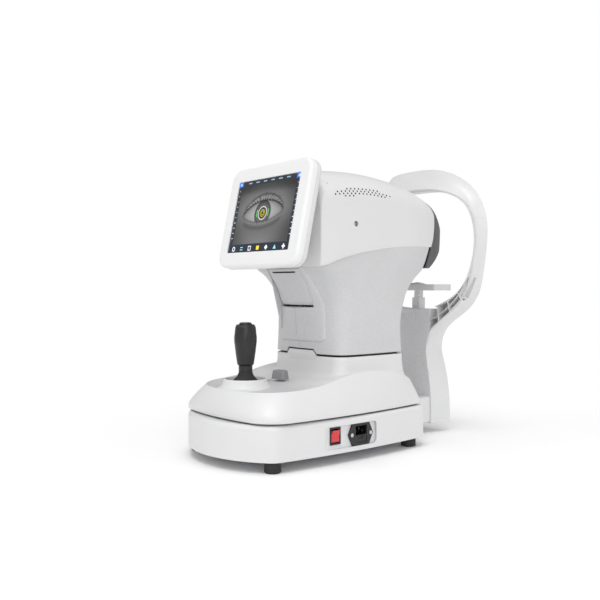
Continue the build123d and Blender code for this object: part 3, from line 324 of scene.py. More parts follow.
def loose(name, verts, faces):
    """Cutter with outward faces."""
    cutter = mesh_object(name, verts, faces)
    shape = bmesh.new()
    shape.from_mesh(cutter.data)
    bmesh.ops.recalc_face_normals(shape, faces=shape.faces)
    shape.to_mesh(cutter.data)
    shape.free()
    return cutter


def prism(points, low, high, axis):
    """Prism of a closed outline between two stations along an axis (0, 1 or 2)."""
    count = len(points)
    verts = []
    for station in (low, high):
        for a, b in points:
            verts.append({0: (station, a, b), 1: (a, station, b), 2: (a, b, station)}[axis])
    faces = [tuple(range(count)), tuple(range(count, 2 * count))]
    faces += [(i, (i + 1) % count, count + (i + 1) % count, count + i) for i in range(count)]
    return verts, faces


def smooth_rows(keys, steps):
    """Catmull-Rom rows through key rows, steps per span."""
    keys = np.array(keys, float)
    padded = np.vstack([2 * keys[0] - keys[1], keys, 2 * keys[-1] - keys[-2]])
    rows = []
    for k in range(len(keys) - 1):
        p0, p1, p2, p3 = padded[k:k + 4]
        for s in np.arange(steps) / steps:
            rows.append(0.5 * (2 * p1 + (p2 - p0) * s + (2 * p0 - 5 * p1 + 4 * p2 - p3) * s ** 2
                               + (3 * p1 - p0 - 3 * p2 + p3) * s ** 3))
    rows.append(keys[-1])
    return np.array(rows)


def step(value, low, high):
    """Smooth step from 0 at low to 1 at high."""
    t = np.clip((value - low) / (high - low), 0.0, 1.0)
    return t * t * (3 - 2 * t)


def signed_power(value, power):
    """Power of a value's size with the value's sign."""
    return math.copysign(abs(value) ** power, value)


def turn_angles(count):
    """Angles of count even steps round a full turn."""
    return np.linspace(0, 2 * math.pi, count + 1)[:-1]


def circle(cx, cy, radius, count=72):
    """Points of a circle."""
    return [(cx + radius * math.cos(a), cy + radius * math.sin(a)) for a in turn_angles(count)]


def superellipse(half_x, half_y, power, count):
    """Points of a rounded rectangle about the origin."""
    return [(half_x * signed_power(math.cos(t), power), half_y * signed_power(math.sin(t), power))
            for t in turn_angles(count)]


def softened(keys, y, spacing):
    """Height between key points at y, averaged over five places at the given spacing."""
    ys, zs = np.array(keys).T
    total = 0.0
    for k in (-2, -1, 0, 1, 2):
        total = total + 0.2 * np.interp(np.asarray(y) + k * spacing, ys, zs)
    return total


def revolve(profile, centre, turns):
    """Surface of revolution about the vertical through centre; profile is (radius, z)."""
    verts, count = [], len(profile)
    for k in range(turns):
        angle = 2 * math.pi * k / turns
        cosine, sine = math.cos(angle), math.sin(angle)
        verts += [(centre[0] + radius * cosine, centre[1] + radius * sine, z) for radius, z in profile]
    faces = []
    for k in range(turns):
        a, b = k * count, ((k + 1) % turns) * count
        for i in range(count - 1):
            faces.append((a + i, b + i, b + i + 1, a + i + 1))
    return verts, faces


# ---- plan outlines ------------------------------------------------------------------
ARC, TURN, SIDE = 40, 12, 36    # steps of the front, of each corner and of each side
CORNER = 0.95                   # where the front ends, as a share of the half width


def front_arc(x, front, side_y, cx):
    """Height in y of the bowed front at x."""
    sag = side_y - front
    if abs(sag) < 1e-3:
        return np.full_like(np.asarray(x, float), front)
    radius = (cx * cx + sag * sag) / (2 * sag)
    reach = np.sqrt(np.maximum(radius ** 2 - np.asarray(x, float) ** 2, 0))
    return front + radius - np.sign(radius) * reach


def side_arc(y, cx, side_y, half, rear_half, rear):
    """Half width at y of the bowed side."""
    mid = (side_y + rear) / 2
    a = cx * (y - mid) * (y - rear) / ((side_y - mid) * (side_y - rear))
    b = half * (y - side_y) * (y - rear) / ((mid - side_y) * (mid - rear))
    c = rear_half * (y - side_y) * (y - mid) / ((rear - side_y) * (rear - mid))
    return a + b + c


def rounded(corner, start, end, count):
    """Conic round from start to end with its point at corner."""
    into, out = start - corner, end - corner
    cos_angle = np.dot(into, out) / (np.linalg.norm(into) * np.linalg.norm(out))
    weight = math.sin(math.acos(max(-1.0, min(1.0, cos_angle))) / 2)
    rows = []
    for s in np.linspace(0, 1, count + 1):
        a, b, c = (1 - s) ** 2, 2 * s * (1 - s) * weight, s * s
        rows.append((a * start + b * corner + c * end) / (a + b + c))
    return rows


def outline(half, front, side_y, rear, front_round, rear_round, rear_half=None, corner=CORNER):
    """Closed plan outline from the middle of the front round by +X; every outline has the same count."""
    rear_half = half if rear_half is None else rear_half
    cx = half * corner
    front_start = cx - front_round * 0.95
    columns = np.linspace(0, front_start, ARC, endpoint=False)
    rows = [(x, float(front_arc(x, front, side_y, cx))) for x in columns]
    start = np.array([front_start, float(front_arc(front_start, front, side_y, cx))])
    y_end = side_y + front_round
    end = np.array([side_arc(y_end, cx, side_y, half, rear_half, rear), y_end])
    rows += [tuple(p) for p in rounded(np.array([cx, side_y]), start, end, TURN)]
    y_stop = rear - rear_round
    for y in np.linspace(y_end, y_stop, SIDE)[1:-1]:
        rows.append((side_arc(y, cx, side_y, half, rear_half, rear), y))
    start = np.array([side_arc(y_stop, cx, side_y, half, rear_half, rear), y_stop])
    end = np.array([rear_half - rear_round, rear])
    rows += [tuple(p) for p in rounded(np.array([rear_half, rear]), start, end, TURN)]
    rows += [(x, rear) for x in np.linspace(rear_half - rear_round, 0, 10)[1:]]
    right = np.array(rows)
    left = right[1:-1][::-1] * (-1, 1)
    return np.vstack([right, left])


def lift(points, heights):
    """Outline points with their heights."""
    heights = np.broadcast_to(heights, len(points))
    return np.column_stack([points, heights])


# ---- stage cover --------------------------------------------------------------------
CREST = [(-240, 112.5), (-200, 113.0), (-150, 115.0), (-108, 118.5), (-64, 130.0), (-30, 134.0), (5, 134.5),
         (58, 129.0), (90, 114.0), (113, 101.0)]
DECK = ((-215, 111.2), (-200, 112.2), (-108, 118.0), (-80, 120.5), (90, 118.0), (113, 101.0))
DECK_STATIONS = (0.012, 0.03, 0.06, 0.10, 0.16, 0.24, 0.34, 0.45, 0.56, 0.66, 0.75, 0.82, 0.87, 0.91, 0.94,
                 0.965, 0.985, 1.0)
STAGE_HALF, STAGE_FRONT, STAGE_SIDE_Y, STAGE_REAR = 125.5, -236.0, -219.0, 113.0
STAGE_LOW, DOME_LOW = 72.0, 78.5
COLLAR_HALF, COLLAR_FRONT, COLLAR_SIDE_Y, COLLAR_REAR = 90.7, -64.0, -53.0, 87.5
COLLAR_RIM = ((150.0, -0.1), (155.3, -0.1), (156.2, -0.5), (156.5, -1.2), (156.5, -2.6), (130.0, -2.8))
STICK_Y, THROAT_R = -177.0, 33.4


def deck_height(x, y):
    """Height of the deck before the collar's flare."""
    y = np.asarray(y, float)
    middle = np.interp(y, *np.array(DECK).T)
    side = softened(CREST, y, 7)
    to_side = np.maximum(step(np.abs(x), 52.0, 100.0) * step(y, -170.0, -70.0), step(y, 60.0, 95.0))
    return middle + (side - middle) * to_side


def stage_outline(inset):
    """Outline of the stage cover drawn in by inset."""
    half = STAGE_HALF - inset
    return outline(half, STAGE_FRONT + inset, STAGE_SIDE_Y + 0.97 * inset, STAGE_REAR - inset, 36.0, 17.0,
                   half - 14.0 + 0.35 * inset, 0.94)


def collar_outline(grow=0.0):
    """Outline of the collar grown on each side."""
    front, side_y, rear = COLLAR_FRONT - grow, COLLAR_SIDE_Y - grow, COLLAR_REAR + grow
    return outline(COLLAR_HALF + grow, front, side_y, rear, 18.0, 8.0)


def deck_rings(crest, collar, crest_z):
    """Rings from the crest over the sunk deck and up the collar's flare."""
    rings = []
    span = np.linalg.norm(collar - crest, axis=1)
    for s in DECK_STATIONS:
        flat = crest + (collar - crest) * s
        sunk = 1.8 * step(s * span, 0.0, 4.0)
        floor = deck_height(flat[:, 0], flat[:, 1]) - sunk
        floor = crest_z + (floor - crest_z) * step(s, 0.0, 0.04)
        flare = np.exp(-(((1 - s) * span / 3.4) ** 0.8))
        rings.append(lift(flat, floor + (144.0 - floor) * flare))
    return rings


def make_stage_cover():
    """Smooth dome, crest, sunk deck, flare and collar of the stage in one skin."""
    base = stage_outline(0)
    crest = outline(106.0, -222.0, -187.0, 106.0, 36.0, 17.0, 98.8, 0.94)
    crest_z = softened(CREST, crest[:, 1], 7)
    collar = collar_outline()
    rings = [lift(stage_outline(3.0), 80.0), lift(stage_outline(3.0), STAGE_LOW),
             lift(stage_outline(1.4), STAGE_LOW), lift(stage_outline(0.4), STAGE_LOW + 0.7),
             lift(base, STAGE_LOW + 2.0), lift(base, DOME_LOW)]
    power = 1.6 - 0.35 * step(np.abs(base[:, 0]), 40.0, 118.0)
    for share in np.linspace(0.0, 1.0, 17)[1:-1]:
        flat = base + (crest - base) * (share ** power)[:, None]
        rings.append(lift(flat, DOME_LOW + (crest_z - DOME_LOW) * share))
    rings.append(lift(crest, crest_z))
    rings += deck_rings(crest, collar, crest_z)
    rings += [lift(collar_outline(grow), z) for z, grow in COLLAR_RIM]
    for share in (0.9, 0.1):
        under = crest + (collar - crest) * share
        rings.append(lift(under, deck_height(under[:, 0], under[:, 1]) - 5.0))
    piece = mesh_piece("stage_cover_skin", np.vstack(rings), loft_faces(len(base), len(rings)),
                       "white_satin", "stage", "stage_cover", "white_satin", 40.0)
    # Deck faces inside the crest get the painted-shade material, which greys the deck round the joystick
    piece.data.materials.append(MATERIALS["deck_painted_shade"])
    for face in piece.data.polygons:
        centre = face.center / MM
        level = abs(centre.x) < 104 and centre.y < -60 and centre.z > 104 and face.normal.z > 0.6
        if level and in_outline(crest, centre.x, centre.y):
            face.material_index = 1
    boolean(piece, loose("throat_cut", *prism(circle(0.0, STICK_Y, THROAT_R), 90.0, 135.0, 2)))
    tidy(piece, 40.0)


def in_outline(points, x, y):
    """Whether a plan point lies inside a closed outline."""
    a, b = points, np.roll(points, -1, axis=0)
    crosses = (a[:, 1] > y) != (b[:, 1] > y)
    a, b = a[crosses], b[crosses]
    at = a[:, 0] + (y - a[:, 1]) / (b[:, 1] - a[:, 1]) * (b[:, 0] - a[:, 0])
    return np.count_nonzero(at > x) % 2 == 1


def make_collar_tab():
    """Trapezoid tab that rises from the front of the collar into the column."""
    verts, columns, heights = [], 25, (150.0, 156.0, 158.5, 161.0, 163.5, 165.0, 165.5)
    for shift in (0.0, 3.0):
        for z in heights:
            half = 37.0 - 7.0 * max(0.0, z - 157.0) / 8.5
            for x in np.linspace(-half, half, columns):
                y = float(front_arc(x, COLLAR_FRONT, COLLAR_SIDE_Y, COLLAR_HALF * CORNER))
                y -= 1.6 * step(z, 152.0, 158.0)
                verts.append((x, y + shift + 0.5 * step(z, 164.6, 165.6), z))
    faces = slab_faces(columns, len(heights))
    mesh_piece("collar_tab", verts, faces, "white_satin", "stage", None, "white_satin", 40.0)


def slab_faces(columns, tall):
    """Faces of a slab whose front and back grids follow each other."""
    shift = columns * tall
    faces = loft_faces(columns, tall, False, False)
    faces += [tuple(shift + i for i in reversed(face)) for face in faces]
    rim = list(range(columns)) + [k * columns + columns - 1 for k in range(1, tall)]
    rim += [(tall - 1) * columns + i for i in range(columns - 2, -1, -1)]
    rim += [k * columns for k in range(tall - 2, 0, -1)]
    for k, a in enumerate(rim):
        b = rim[(k + 1) % len(rim)]
        faces.append((a, a + shift, b + shift, b))
    return faces


KNOB_Y, KNOB_TURN = -108.0, math.radians(14.0)
KNOB_RINGS = ((119.6, 12.6, 8.6), (121.0, 12.8, 8.8), (127.0, 12.2, 8.2), (131.6, 11.4, 7.5),
              (133.2, 10.6, 6.8), (134.0, 9.2, 5.6), (134.3, 6.0, 3.4))


def make_lock_knob():
    """Grey block-shaped stage lock with softened corners, and the light index bar beside it."""
    cosine, sine = math.cos(KNOB_TURN), math.sin(KNOB_TURN)
    verts = []
    for z, half_x, half_y in KNOB_RINGS:
        verts += [(x * cosine - y * sine, KNOB_Y + x * sine + y * cosine, z)
                  for x, y in superellipse(half_x, half_y, 0.36, 48)]
    faces = end_capped(48, len(KNOB_RINGS))
    mesh_piece("lock_knob_block", verts, faces, "knob_grey", "knob", "lock_knob", "panel_grey", 40.0)
    bar = []
    for z, grow in ((117.5, 0.0), (119.4, 0.0), (120.2, -0.5), (120.4, -1.2)):
        bar += [(x - 24.0, y - 116.0, z) for x, y in superellipse(8.0 + grow, 2.6 + grow, 0.5, 32)]
    faces = loft_faces(32, 4, True, False) + [tuple(range(96, 128))]
    mesh_piece("lock_index_bar", bar, faces, "white_satin", "stage", None, "white_satin", 40.0)


def make_joystick_ring():
    """Ring round the joystick with its concave skirt."""
    profile = [(31.5, 108.0), (31.5, 124.8), (31.9, 125.7), (32.7, 126.0), (33.6, 125.6)]
    for s in np.linspace(0.0, 1.0, 14)[1:]:
        profile.append((33.9 + 10.3 * s ** 1.25, 124.9 - 13.2 * (1 - (1 - s) ** 1.7)))
    profile += [(44.9, 109.0), (45.0, 104.0)]
    verts, faces = revolve(profile, (0.0, STICK_Y), 96)
    mesh_piece("joystick_ring_skin", verts, faces, "white_satin", "stage", "joystick_ring", "white_gloss",
               50.0)


# ---- head ---------------------------------------------------------------------------
NECK = [(159.0, 91.0, -66.0, -52.0, 87.5, 90.0), (180, 91.0, -68.5, -49.5, 85.5, 90.0),
        (203, 91.0, -71.0, -47.5, 84.5, 90.0), (228, 91.0, -73.3, -46.5, 88.0, 90.0),
        (244, 91.0, -76.4, -48.0, 93.0, 90.0), (260, 91.5, -82.5, -52.5, 99.5, 90.0),
        (274, 92.7, -89.5, -61.0, 110.5, 90.0), (286, 94.2, -96.0, -74.0, 122.5, 90.0),
        (297, 96.0, -101.0, -91.0, 137.0, 90.0), (308, 97.2, -102.6, -100.0, 145.0, 90.0),
        (325, 97.8, -102.6, -101.4, 153.5, 89.5), (345, 98.2, -102.6, -101.6, 162.0, 89.0)]
CREASE = [(-102, 299.5), (-70, 311), (-29, 322), (14, 329), (59, 335), (107, 338), (149.5, 338.5),
          (200, 338.5)]
BEZEL_EDGE = [(144, 303), (152.5, 322), (159.5, 339), (165, 353), (168.5, 377), (167, 402), (159.5, 418),
              (151.5, 428), (147, 440), (146, 456)]
DOOR_LOW, DOOR_HIGH, DOOR_HALF, DOOR_PROUD = 239.6, 299.0, 40.7, 3.4
DOOR_PIN, DOOR_SWING = (-72.6, 239.2), math.radians(75)
OPENING_LOW = DOOR_LOW - 3.3
COVER_WALL, DOOR_WALL, SEAM_HALF = 2.8, 3.0, 0.2
SURROUND_HALF, SURROUND_STEPS = 58.0, 160
NECK_ROWS = smooth_rows(NECK, 40)


def neck_rings():
    """Rings of the column's outer skin from the lower lip to just under the crease."""
    rows = smooth_rows(NECK, 9)
    levels, low = rows[:, 0], NECK[0][0]
    plans = np.array([outline(*row[1:5], 18.0, 9.0, row[5]) for row in rows])
    rings = []
    for share in np.linspace(0, 1, 61):
        heights = np.full(plans.shape[1], low + (320.0 - low) * share)
        for _ in range(4):
            flat = np.array([[np.interp(z, levels, plans[:, k, axis]) for axis in (0, 1)]
                             for k, z in enumerate(heights)])
            heights = low + (softened(CREASE, flat[:, 1], 6) + 1.5 - low) * share
        rings.append(lift(flat, heights))
    return rings


def make_column_covers():
    """Both column covers with the printer opening between them."""
    outer = neck_rings()
    inner = [drawn_in(ring, COVER_WALL) for ring in outer]
    lip = drawn_in(outer[0], 0.8) + (0, 0, 0.8)
    outer[0] = outer[0] + (0, 0, 1.6)
    inner[0] = inner[0] + (0, 0, 0.8)
    rings = [lip] + outer + inner[::-1]
    verts, faces = np.vstack(rings), loft_faces(len(lip), len(rings))
    opening = rounded_box_outline(DOOR_HALF + 0.7, OPENING_LOW, DOOR_HIGH + 0.6, 2.0)
    notch = [(-40.0, 150.0), (-40.0, 157.4), (-32.4, 168.0), (32.4, 168.0), (40.0, 157.4), (40.0, 150.0)]
    for side, side_name in ((-1, "left"), (1, "right")):
        node = "column_cover_" + side_name
        piece = mesh_piece(node + "_skin", verts, faces, "white_texture", "head", node, "white_texture", 38.0)
        keep_side(piece, side, SEAM_HALF)
        boolean(piece, loose("door_cut", *prism(opening, -140.0, -40.0, 1)))
        boolean(piece, bezel_prism(0.25))
        boolean(piece, loose("tab_cut", *prism(notch, -100.0, -40.0, 1)))
        tidy(piece, 38.0)


def neck_front(x, z):
    """Height in y of the column's front surface."""
    rows = NECK_ROWS
    half, front, side_y = (np.interp(z, rows[:, 0], rows[:, k]) for k in (1, 2, 3))
    cx = half * CORNER
    sag = side_y - front
    radius = (cx * cx + sag * sag) / (2 * np.maximum(sag, 0.4))
    return front + radius - np.sqrt(np.maximum(radius ** 2 - np.asarray(x, float) ** 2, 0))


def surround_ring(inset):
    """Points along the raised panel's outline drawn in by inset; it narrows towards the top."""
    round_in = max(10.0 - inset, 1.2)
    points = np.array(rounded_box_outline(SURROUND_HALF - inset, 180.0 + inset, 304.0 - inset, round_in, 8))
    closed = np.vstack([points, points[:1]])
    length = np.concatenate([[0], np.cumsum(np.linalg.norm(np.diff(closed, axis=0), axis=1))])
    at = np.linspace(0, length[-1], SURROUND_STEPS, endpoint=False)
    x, z = np.interp(at, length, closed[:, 0]), np.interp(at, length, closed[:, 1])
    return x * (SURROUND_HALF - 9.0 * step(z, 235.0, 292.0)) / SURROUND_HALF, z


def door_front(x, z):
    """Height in y of the printer door's outer face, which fades into the column at its lower edge."""
    return neck_front(x, z) - DOOR_PROUD * step(z - DOOR_LOW, -0.3, 6.0)


def door_swing():
    """Outline in y and z of the room that the fully open door takes below its opening."""
    pin_y, pin_z = DOOR_PIN
    cosine, sine = math.cos(DOOR_SWING), math.sin(DOOR_SWING)
    path = []
    for z in np.linspace(DOOR_LOW, DOOR_LOW + 7.0, 15):
        dy, dz = float(door_front(0.0, z)) - pin_y, z - pin_z
        path.append((pin_y + dy * cosine - dz * sine, pin_z + dy * sine + dz * cosine - 0.6))
    low, high = path[-1][1], path[0][1]
    return [(-95.0, low)] + path[::-1] + [(-60.0, high), (-60.0, 250.0), (-95.0, 250.0)]


def make_front_panel():
    """Raised panel on the column's front that frames the printer door."""
    edge = [(-0.6, -1.5), (-0.6, 0.0), (-0.3, 0.6), (0.3, 1.6), (1.2, 2.5), (2.4, 3.1), (4.0, 3.35)]
    field = [(inset, DOOR_PROUD) for inset in (8.0, 14.0, 22.0, 32.0, 44.0, 54.0)]
    rings = []
    for inset, proud in edge + field:
        x, z = surround_ring(inset)
        rings.append(np.column_stack([x, neck_front(x, z) - proud, z]))
    panel = mesh_piece("printer_surround", np.vstack(rings), end_capped(SURROUND_STEPS, len(rings)),
                       "white_texture", "head", None, "white_texture", 40.0)
    reach = DOOR_HALF + 0.8
    opening = rounded_box_outline(reach, OPENING_LOW, 320.0, 2.0)
    boolean(panel, loose("door_cut", *prism(opening, -140.0, -40.0, 1)))
    boolean(panel, loose("swing_cut", *prism(door_swing(), -reach, reach, 0)))
    seam = [(-0.25, 150.0), (0.25, 150.0), (0.25, 245.0), (-0.25, 245.0)]
    boolean(panel, loose("seam_cut", *prism(seam, -140.0, DOOR_PIN[0], 1)))
    tidy(panel, 40.0)


def drawn_in(ring, wall):
    """Ring moved inward by wall in plan."""
    along = (np.roll(ring, -1, axis=0) - np.roll(ring, 1, axis=0))[:, :2]
    length = np.maximum(np.linalg.norm(along, axis=1, keepdims=True), 1e-9)
    normals = np.column_stack([along[:, 1], -along[:, 0]]) / length
    return ring - np.column_stack([normals * wall, 0 * ring[:, 2]])


def rounded_box_outline(half, low, high, radius, steps=5):
    """Rounded rectangle in x and z."""
    points = []
    for cx, cz, start in ((half - radius, high - radius, 0), (-half + radius, high - radius, 90),
                          (-half + radius, low + radius, 180), (half - radius, low + radius, 270)):
        for k in range(steps + 1):
            angle = math.radians(start + 90 * k / steps)
            points.append((cx + radius * math.cos(angle), cz + radius * math.sin(angle)))
    return points


def bezel_prism(gap):
    """Cutter behind the bezel's front boundary."""
    rows = smooth_rows(BEZEL_EDGE, 6)
    points = [(y - gap, z) for y, z in rows] + [(146 - gap, 520), (260, 520), (260, 240), (144 - gap, 240)]
    return loose("bezel_cut", *prism(points, -130.0, 130.0, 0))


def make_printer_door():
    """Curved printer door with softened edges and the paper slot."""
    columns = np.linspace(-DOOR_HALF, DOOR_HALF, 61)
    heights = np.linspace(DOOR_LOW, DOOR_HIGH, 49)
    front, back = [], []
    for z in heights:
        border = np.minimum(DOOR_HALF - np.abs(columns), DOOR_HIGH - z)
        y = door_front(columns, z) + 1.1 * (1 - step(border, -0.4, 1.8))
        front.append(np.column_stack([columns, y, np.full_like(y, z)]))
        back.append(np.column_stack([columns, y + DOOR_WALL, np.full_like(y, z)]))
    piece = mesh_piece("printer_door_skin", np.vstack(front + back), slab_faces(len(columns), len(heights)),
                       "white_texture", "door", "printer_door", "white_satin", 50.0)
    slot = rounded_box_outline(29.6, 291.6, 293.8, 0.8, 3)
    boolean(piece, loose("slot_cut", *prism(slot, -130.0, -60.0, 1)))
    tidy(piece, 50.0)


HEAD = [(-102.0, 92.0, 420.0, 429.0), (-101.3, 93.8, 425.0, 435.0), (-98.5, 95.8, 432.5, 443.0),
        (-92.0, 97.2, 440.0, 451.5), (-77.0, 98.6, 445.5, 458.0), (-44.0, 99.2, 448.0, 461.0),
        (-10.0, 99.4, 449.5, 462.8), (30.0, 98.9, 448.6, 462.2), (73.0, 97.2, 445.0, 458.2),
        (105.0, 95.0, 441.0, 453.5), (138.0, 91.8, 434.0, 445.0), (172.0, 88.0, 424.0, 432.5)]
ARCH_POWER = 2.22
HEAD_WALL = 2.8
VENT_ROWS = ((3, 12), (0, 15), (0, 14), (2, 5))
VENT_STEP, VENT_DROP, VENT_R = 4.2, 3.7, 1.4
SCREW_Y, SCREW_Z = -32.7, 369.0
WINDOW_Z, WINDOW_R = 375.0, 28.0


def head_section(y, half, edge_z, crown_z, low, inset):
    """Closed arched section of the head at y, from its right lower corner over the crown to the left."""
    half, crown_z = half - inset, crown_z - inset
    spring = edge_z - 38.0
    rim = [(half - 1.0, low), (half - 0.3, low + 0.25), (half, low + 0.9)]
    wall = [(half, low + 0.9 + (spring - low - 0.9) * s) for s in np.linspace(0, 1, 13)[1:]]
    arch = []
    for t in np.linspace(0, math.pi, 49)[1:-1]:
        cosine, sine = math.cos(t), math.sin(t)
        x = half * signed_power(cosine, 2 / ARCH_POWER)
        arch.append((x, spring + (crown_z - spring) * sine ** (2 / ARCH_POWER)))
    right = rim + wall
    rows = right + arch + [(-x, z) for x, z in reversed(right)]
    return [(x, y, z) for x, z in rows]


def arched_solid(name, sections):
    """Name, points and faces of a closed body through arched sections."""
    verts = [point for section in sections for point in section]
    return name, verts, end_capped(len(sections[0]), len(sections))


def head_solid(name, inset, drop, front_shift):
    """Head as a closed body drawn in by inset."""
    sections = []
    for y, half, edge_z, crown_z in smooth_rows(HEAD, 6):
        shift = front_shift * (1 - step(y, -102.0, -70.0))
        low = softened(CREASE, y, 6) - drop
        sections.append(head_section(y + shift, half, edge_z, crown_z, low, inset))
    return arched_solid(name, sections)


def make_head_shell():
    """Upper head shell with its front wall, vents and screw recess."""
    solid = head_solid("head_shell_skin", 0.0, 0.0, 0.0)
    piece = mesh_piece(*solid, "white_gloss", "head", "head_shell", "white_gloss", 32.0)
    boolean(piece, loose(*head_solid("head_hollow", HEAD_WALL, 20.0, 3.0)))
    boolean(piece, bezel_prism(0.3))
    cutters, cutter_faces, holes = [], [], []
    for row, (first, last) in enumerate(VENT_ROWS):
        for k in range(first, last):
            y = -76.0 + VENT_STEP * (row % 2) + 2 * VENT_STEP * k
            z = 425.0 - VENT_DROP * row - 0.0011 * (y + 8.0) ** 2
            holes.append((y, z))
            add_drill(cutters, cutter_faces, y, z, VENT_R, 86.0, 106.0, 14)
    boolean(piece, loose("vent_cut", cutters, cutter_faces))
    recess, recess_faces = [], []
    add_drill(recess, recess_faces, SCREW_Y, SCREW_Z, 4.6, 94.6, 106.0, 32)
    boolean(piece, loose("recess_cut", recess, recess_faces))
    tidy(piece, 32.0)
    paint_vent_shade(piece, np.array(holes))
    # Black sheet just inside the shell behind the vents, a dark sheet painted as the shade inside the head
    shade_sheet = prism([(-86, 400), (62, 400), (62, 430), (-86, 430)], 88.0, 89.0, 0)
    mesh_piece("vent_shade_sheet", *shade_sheet, "black_plastic", "head", None, "charcoal", 35.0)
    make_head_screw()


def paint_vent_shade(piece, holes):
    """Gives the walls of the vent holes a black material, as painted shade inside the holes."""
    piece.data.materials.append(MATERIALS["black_plastic"])
    for face in piece.data.polygons:
        centre = face.center / MM
        near = np.min(np.hypot(holes[:, 0] - centre.y, holes[:, 1] - centre.z)) < VENT_R - 0.02
        if centre.x > 80 and near and abs(face.normal.x) < 0.3:
            face.material_index = 1


def make_head_screw():
    """Pan head screw with a cross slot at the bottom of the head's recess."""
    profile = ((93.6, 4.4), (95.0, 4.4), (95.0, 3.6), (96.2, 3.5), (97.0, 3.0), (97.4, 2.0), (97.5, 0.6))
    rings = [(x, y, z) for x, radius in profile for y, z in circle(SCREW_Y, SCREW_Z, radius, 32)]
    faces = end_capped(32, len(profile))
    screw = mesh_piece("head_screw", rings, faces, "steel", "head", None, "steel", 35.0)
    for angle in (0.5, 0.5 + math.pi / 2):
        cosine, sine = math.cos(angle), math.sin(angle)
        slot = [(SCREW_Y + cosine * a - sine * b, SCREW_Z + sine * a + cosine * b)
                for a, b in ((-0.45, -2.4), (0.45, -2.4), (0.45, 2.4), (-0.45, 2.4))]
        boolean(screw, loose("slot", *prism(slot, 96.0, 100.0, 0)))
    tidy(screw, 35.0)


BEZEL_REAR = [(146, 456), (158, 447), (168, 437), (180, 422), (188, 411.5), (192.6, 404), (195, 372),
              (191, 338), (181, 325), (155, 303), (144, 303)]
BEZEL_CORE = [(136, 91.7, 434.5, 444.5), (152, 90.2, 430, 439.5), (172, 88, 424, 431.5),
              (185, 84, 415, 421.5), (198, 78, 402.5, 408)]


def bezel_core(name, inset):
    """Bezel as a closed body drawn in by inset."""
    low = 298.0 + 2 * inset
    return arched_solid(name, [head_section(*row, low, inset) for row in smooth_rows(BEZEL_CORE, 6)])


def make_rear_bezel():
    """Dark bezel round the measuring window, tapering towards the patient."""
    side = list(smooth_rows(BEZEL_EDGE, 6)) + list(smooth_rows(BEZEL_REAR, 4)[1:-1])
    inner_side = [(y - 3.0, z) for y, z in side]
    core = bezel_core("rear_bezel_skin", 0.15)
    piece = mesh_piece(*core, "bezel_grey", "head", "rear_bezel", "bezel_grey", 30.0)
    boolean(piece, loose("bezel_side", *prism(side, -130.0, 130.0, 0)), "INTERSECT")
    hollow = loose(*bezel_core("bezel_hollow", 3.0))
    boolean(hollow, loose("hollow_side", *prism(inner_side, -130.0, 130.0, 0)), "INTERSECT")
    boolean(piece, hollow)
    boolean(piece, loose("window_cut", *prism(circle(0.0, WINDOW_Z, WINDOW_R), 160.0, 220.0, 1)))
    tidy(piece, 30.0)


PAD_HALF_X, PAD_HALF_Z, PAD_Z = 55.0, 14.0, 466.0
PAD_PROFILE = [(0.90, 0.1), (0.975, 0.5), (0.995, 1.4), (1.0, 2.2), (0.995, 2.9), (0.975, 3.3),
               (0.955, 3.25), (0.93, 3.7), (0.88, 4.9), (0.80, 5.9), (0.68, 6.6), (0.52, 7.0), (0.34, 7.2),
               (0.16, 7.3), (0.04, 7.3)]
ARCH_FOOT, ARCH_TOP = (227.0, 20.0), (247.0, 489.5)


def make_forehead_pad():
    """Crowned pad with a sewn edge on the patient's side of the arch."""
    lean = math.atan2(ARCH_TOP[0] - ARCH_FOOT[0], ARCH_TOP[1] - ARCH_FOOT[1])
    origin = np.array([0.0, ARCH_TOP[0] - math.tan(lean) * (PAD_Z - ARCH_FOOT[1]), PAD_Z])
    up = np.array([0.0, -math.sin(lean), math.cos(lean)])
    out = np.array([0.0, math.cos(lean), math.sin(lean)])
    rings = []
    for scale, height in PAD_PROFILE:
        if scale > 0.5:
            half_x, half_z = PAD_HALF_X - 24.0 * (1.0 - scale), PAD_HALF_Z - 24.0 * (1.0 - scale)
        else:
            half_x, half_z = 86.0 * scale, 4.0 * scale
        for x, v in superellipse(half_x, half_z, 0.55, 96):
            pull = 0.25 * math.cos(2 * math.pi * x / 27.5) * (scale > 0.9)
            rings.append(origin + np.array([x, 0, 0]) + up * (v + pull * np.sign(v)) + out * height)
    faces = end_capped(96, len(PAD_PROFILE))
    pad = mesh_piece("forehead_cushion", rings, faces, "pad", "base", "forehead_pad", "pad", 50.0)


# ---- screen -------------------------------------------------------------------------
SCREEN_LEAN = math.radians(12.4)
SCREEN_FOOT, SCREEN_DEEP = (-157.3, 324.9), 2.05    # y and z of the frame's lower edge, depth behind it


def soft_edge(distance, width):
    """1 inside, 0 outside, soft over width."""
    return np.clip(0.5 - distance / width, 0, 1)


def blend_colour(base, colour, amount):
    """Lays a colour over base."""
    return base + (np.array(colour) - base) * amount[..., None]


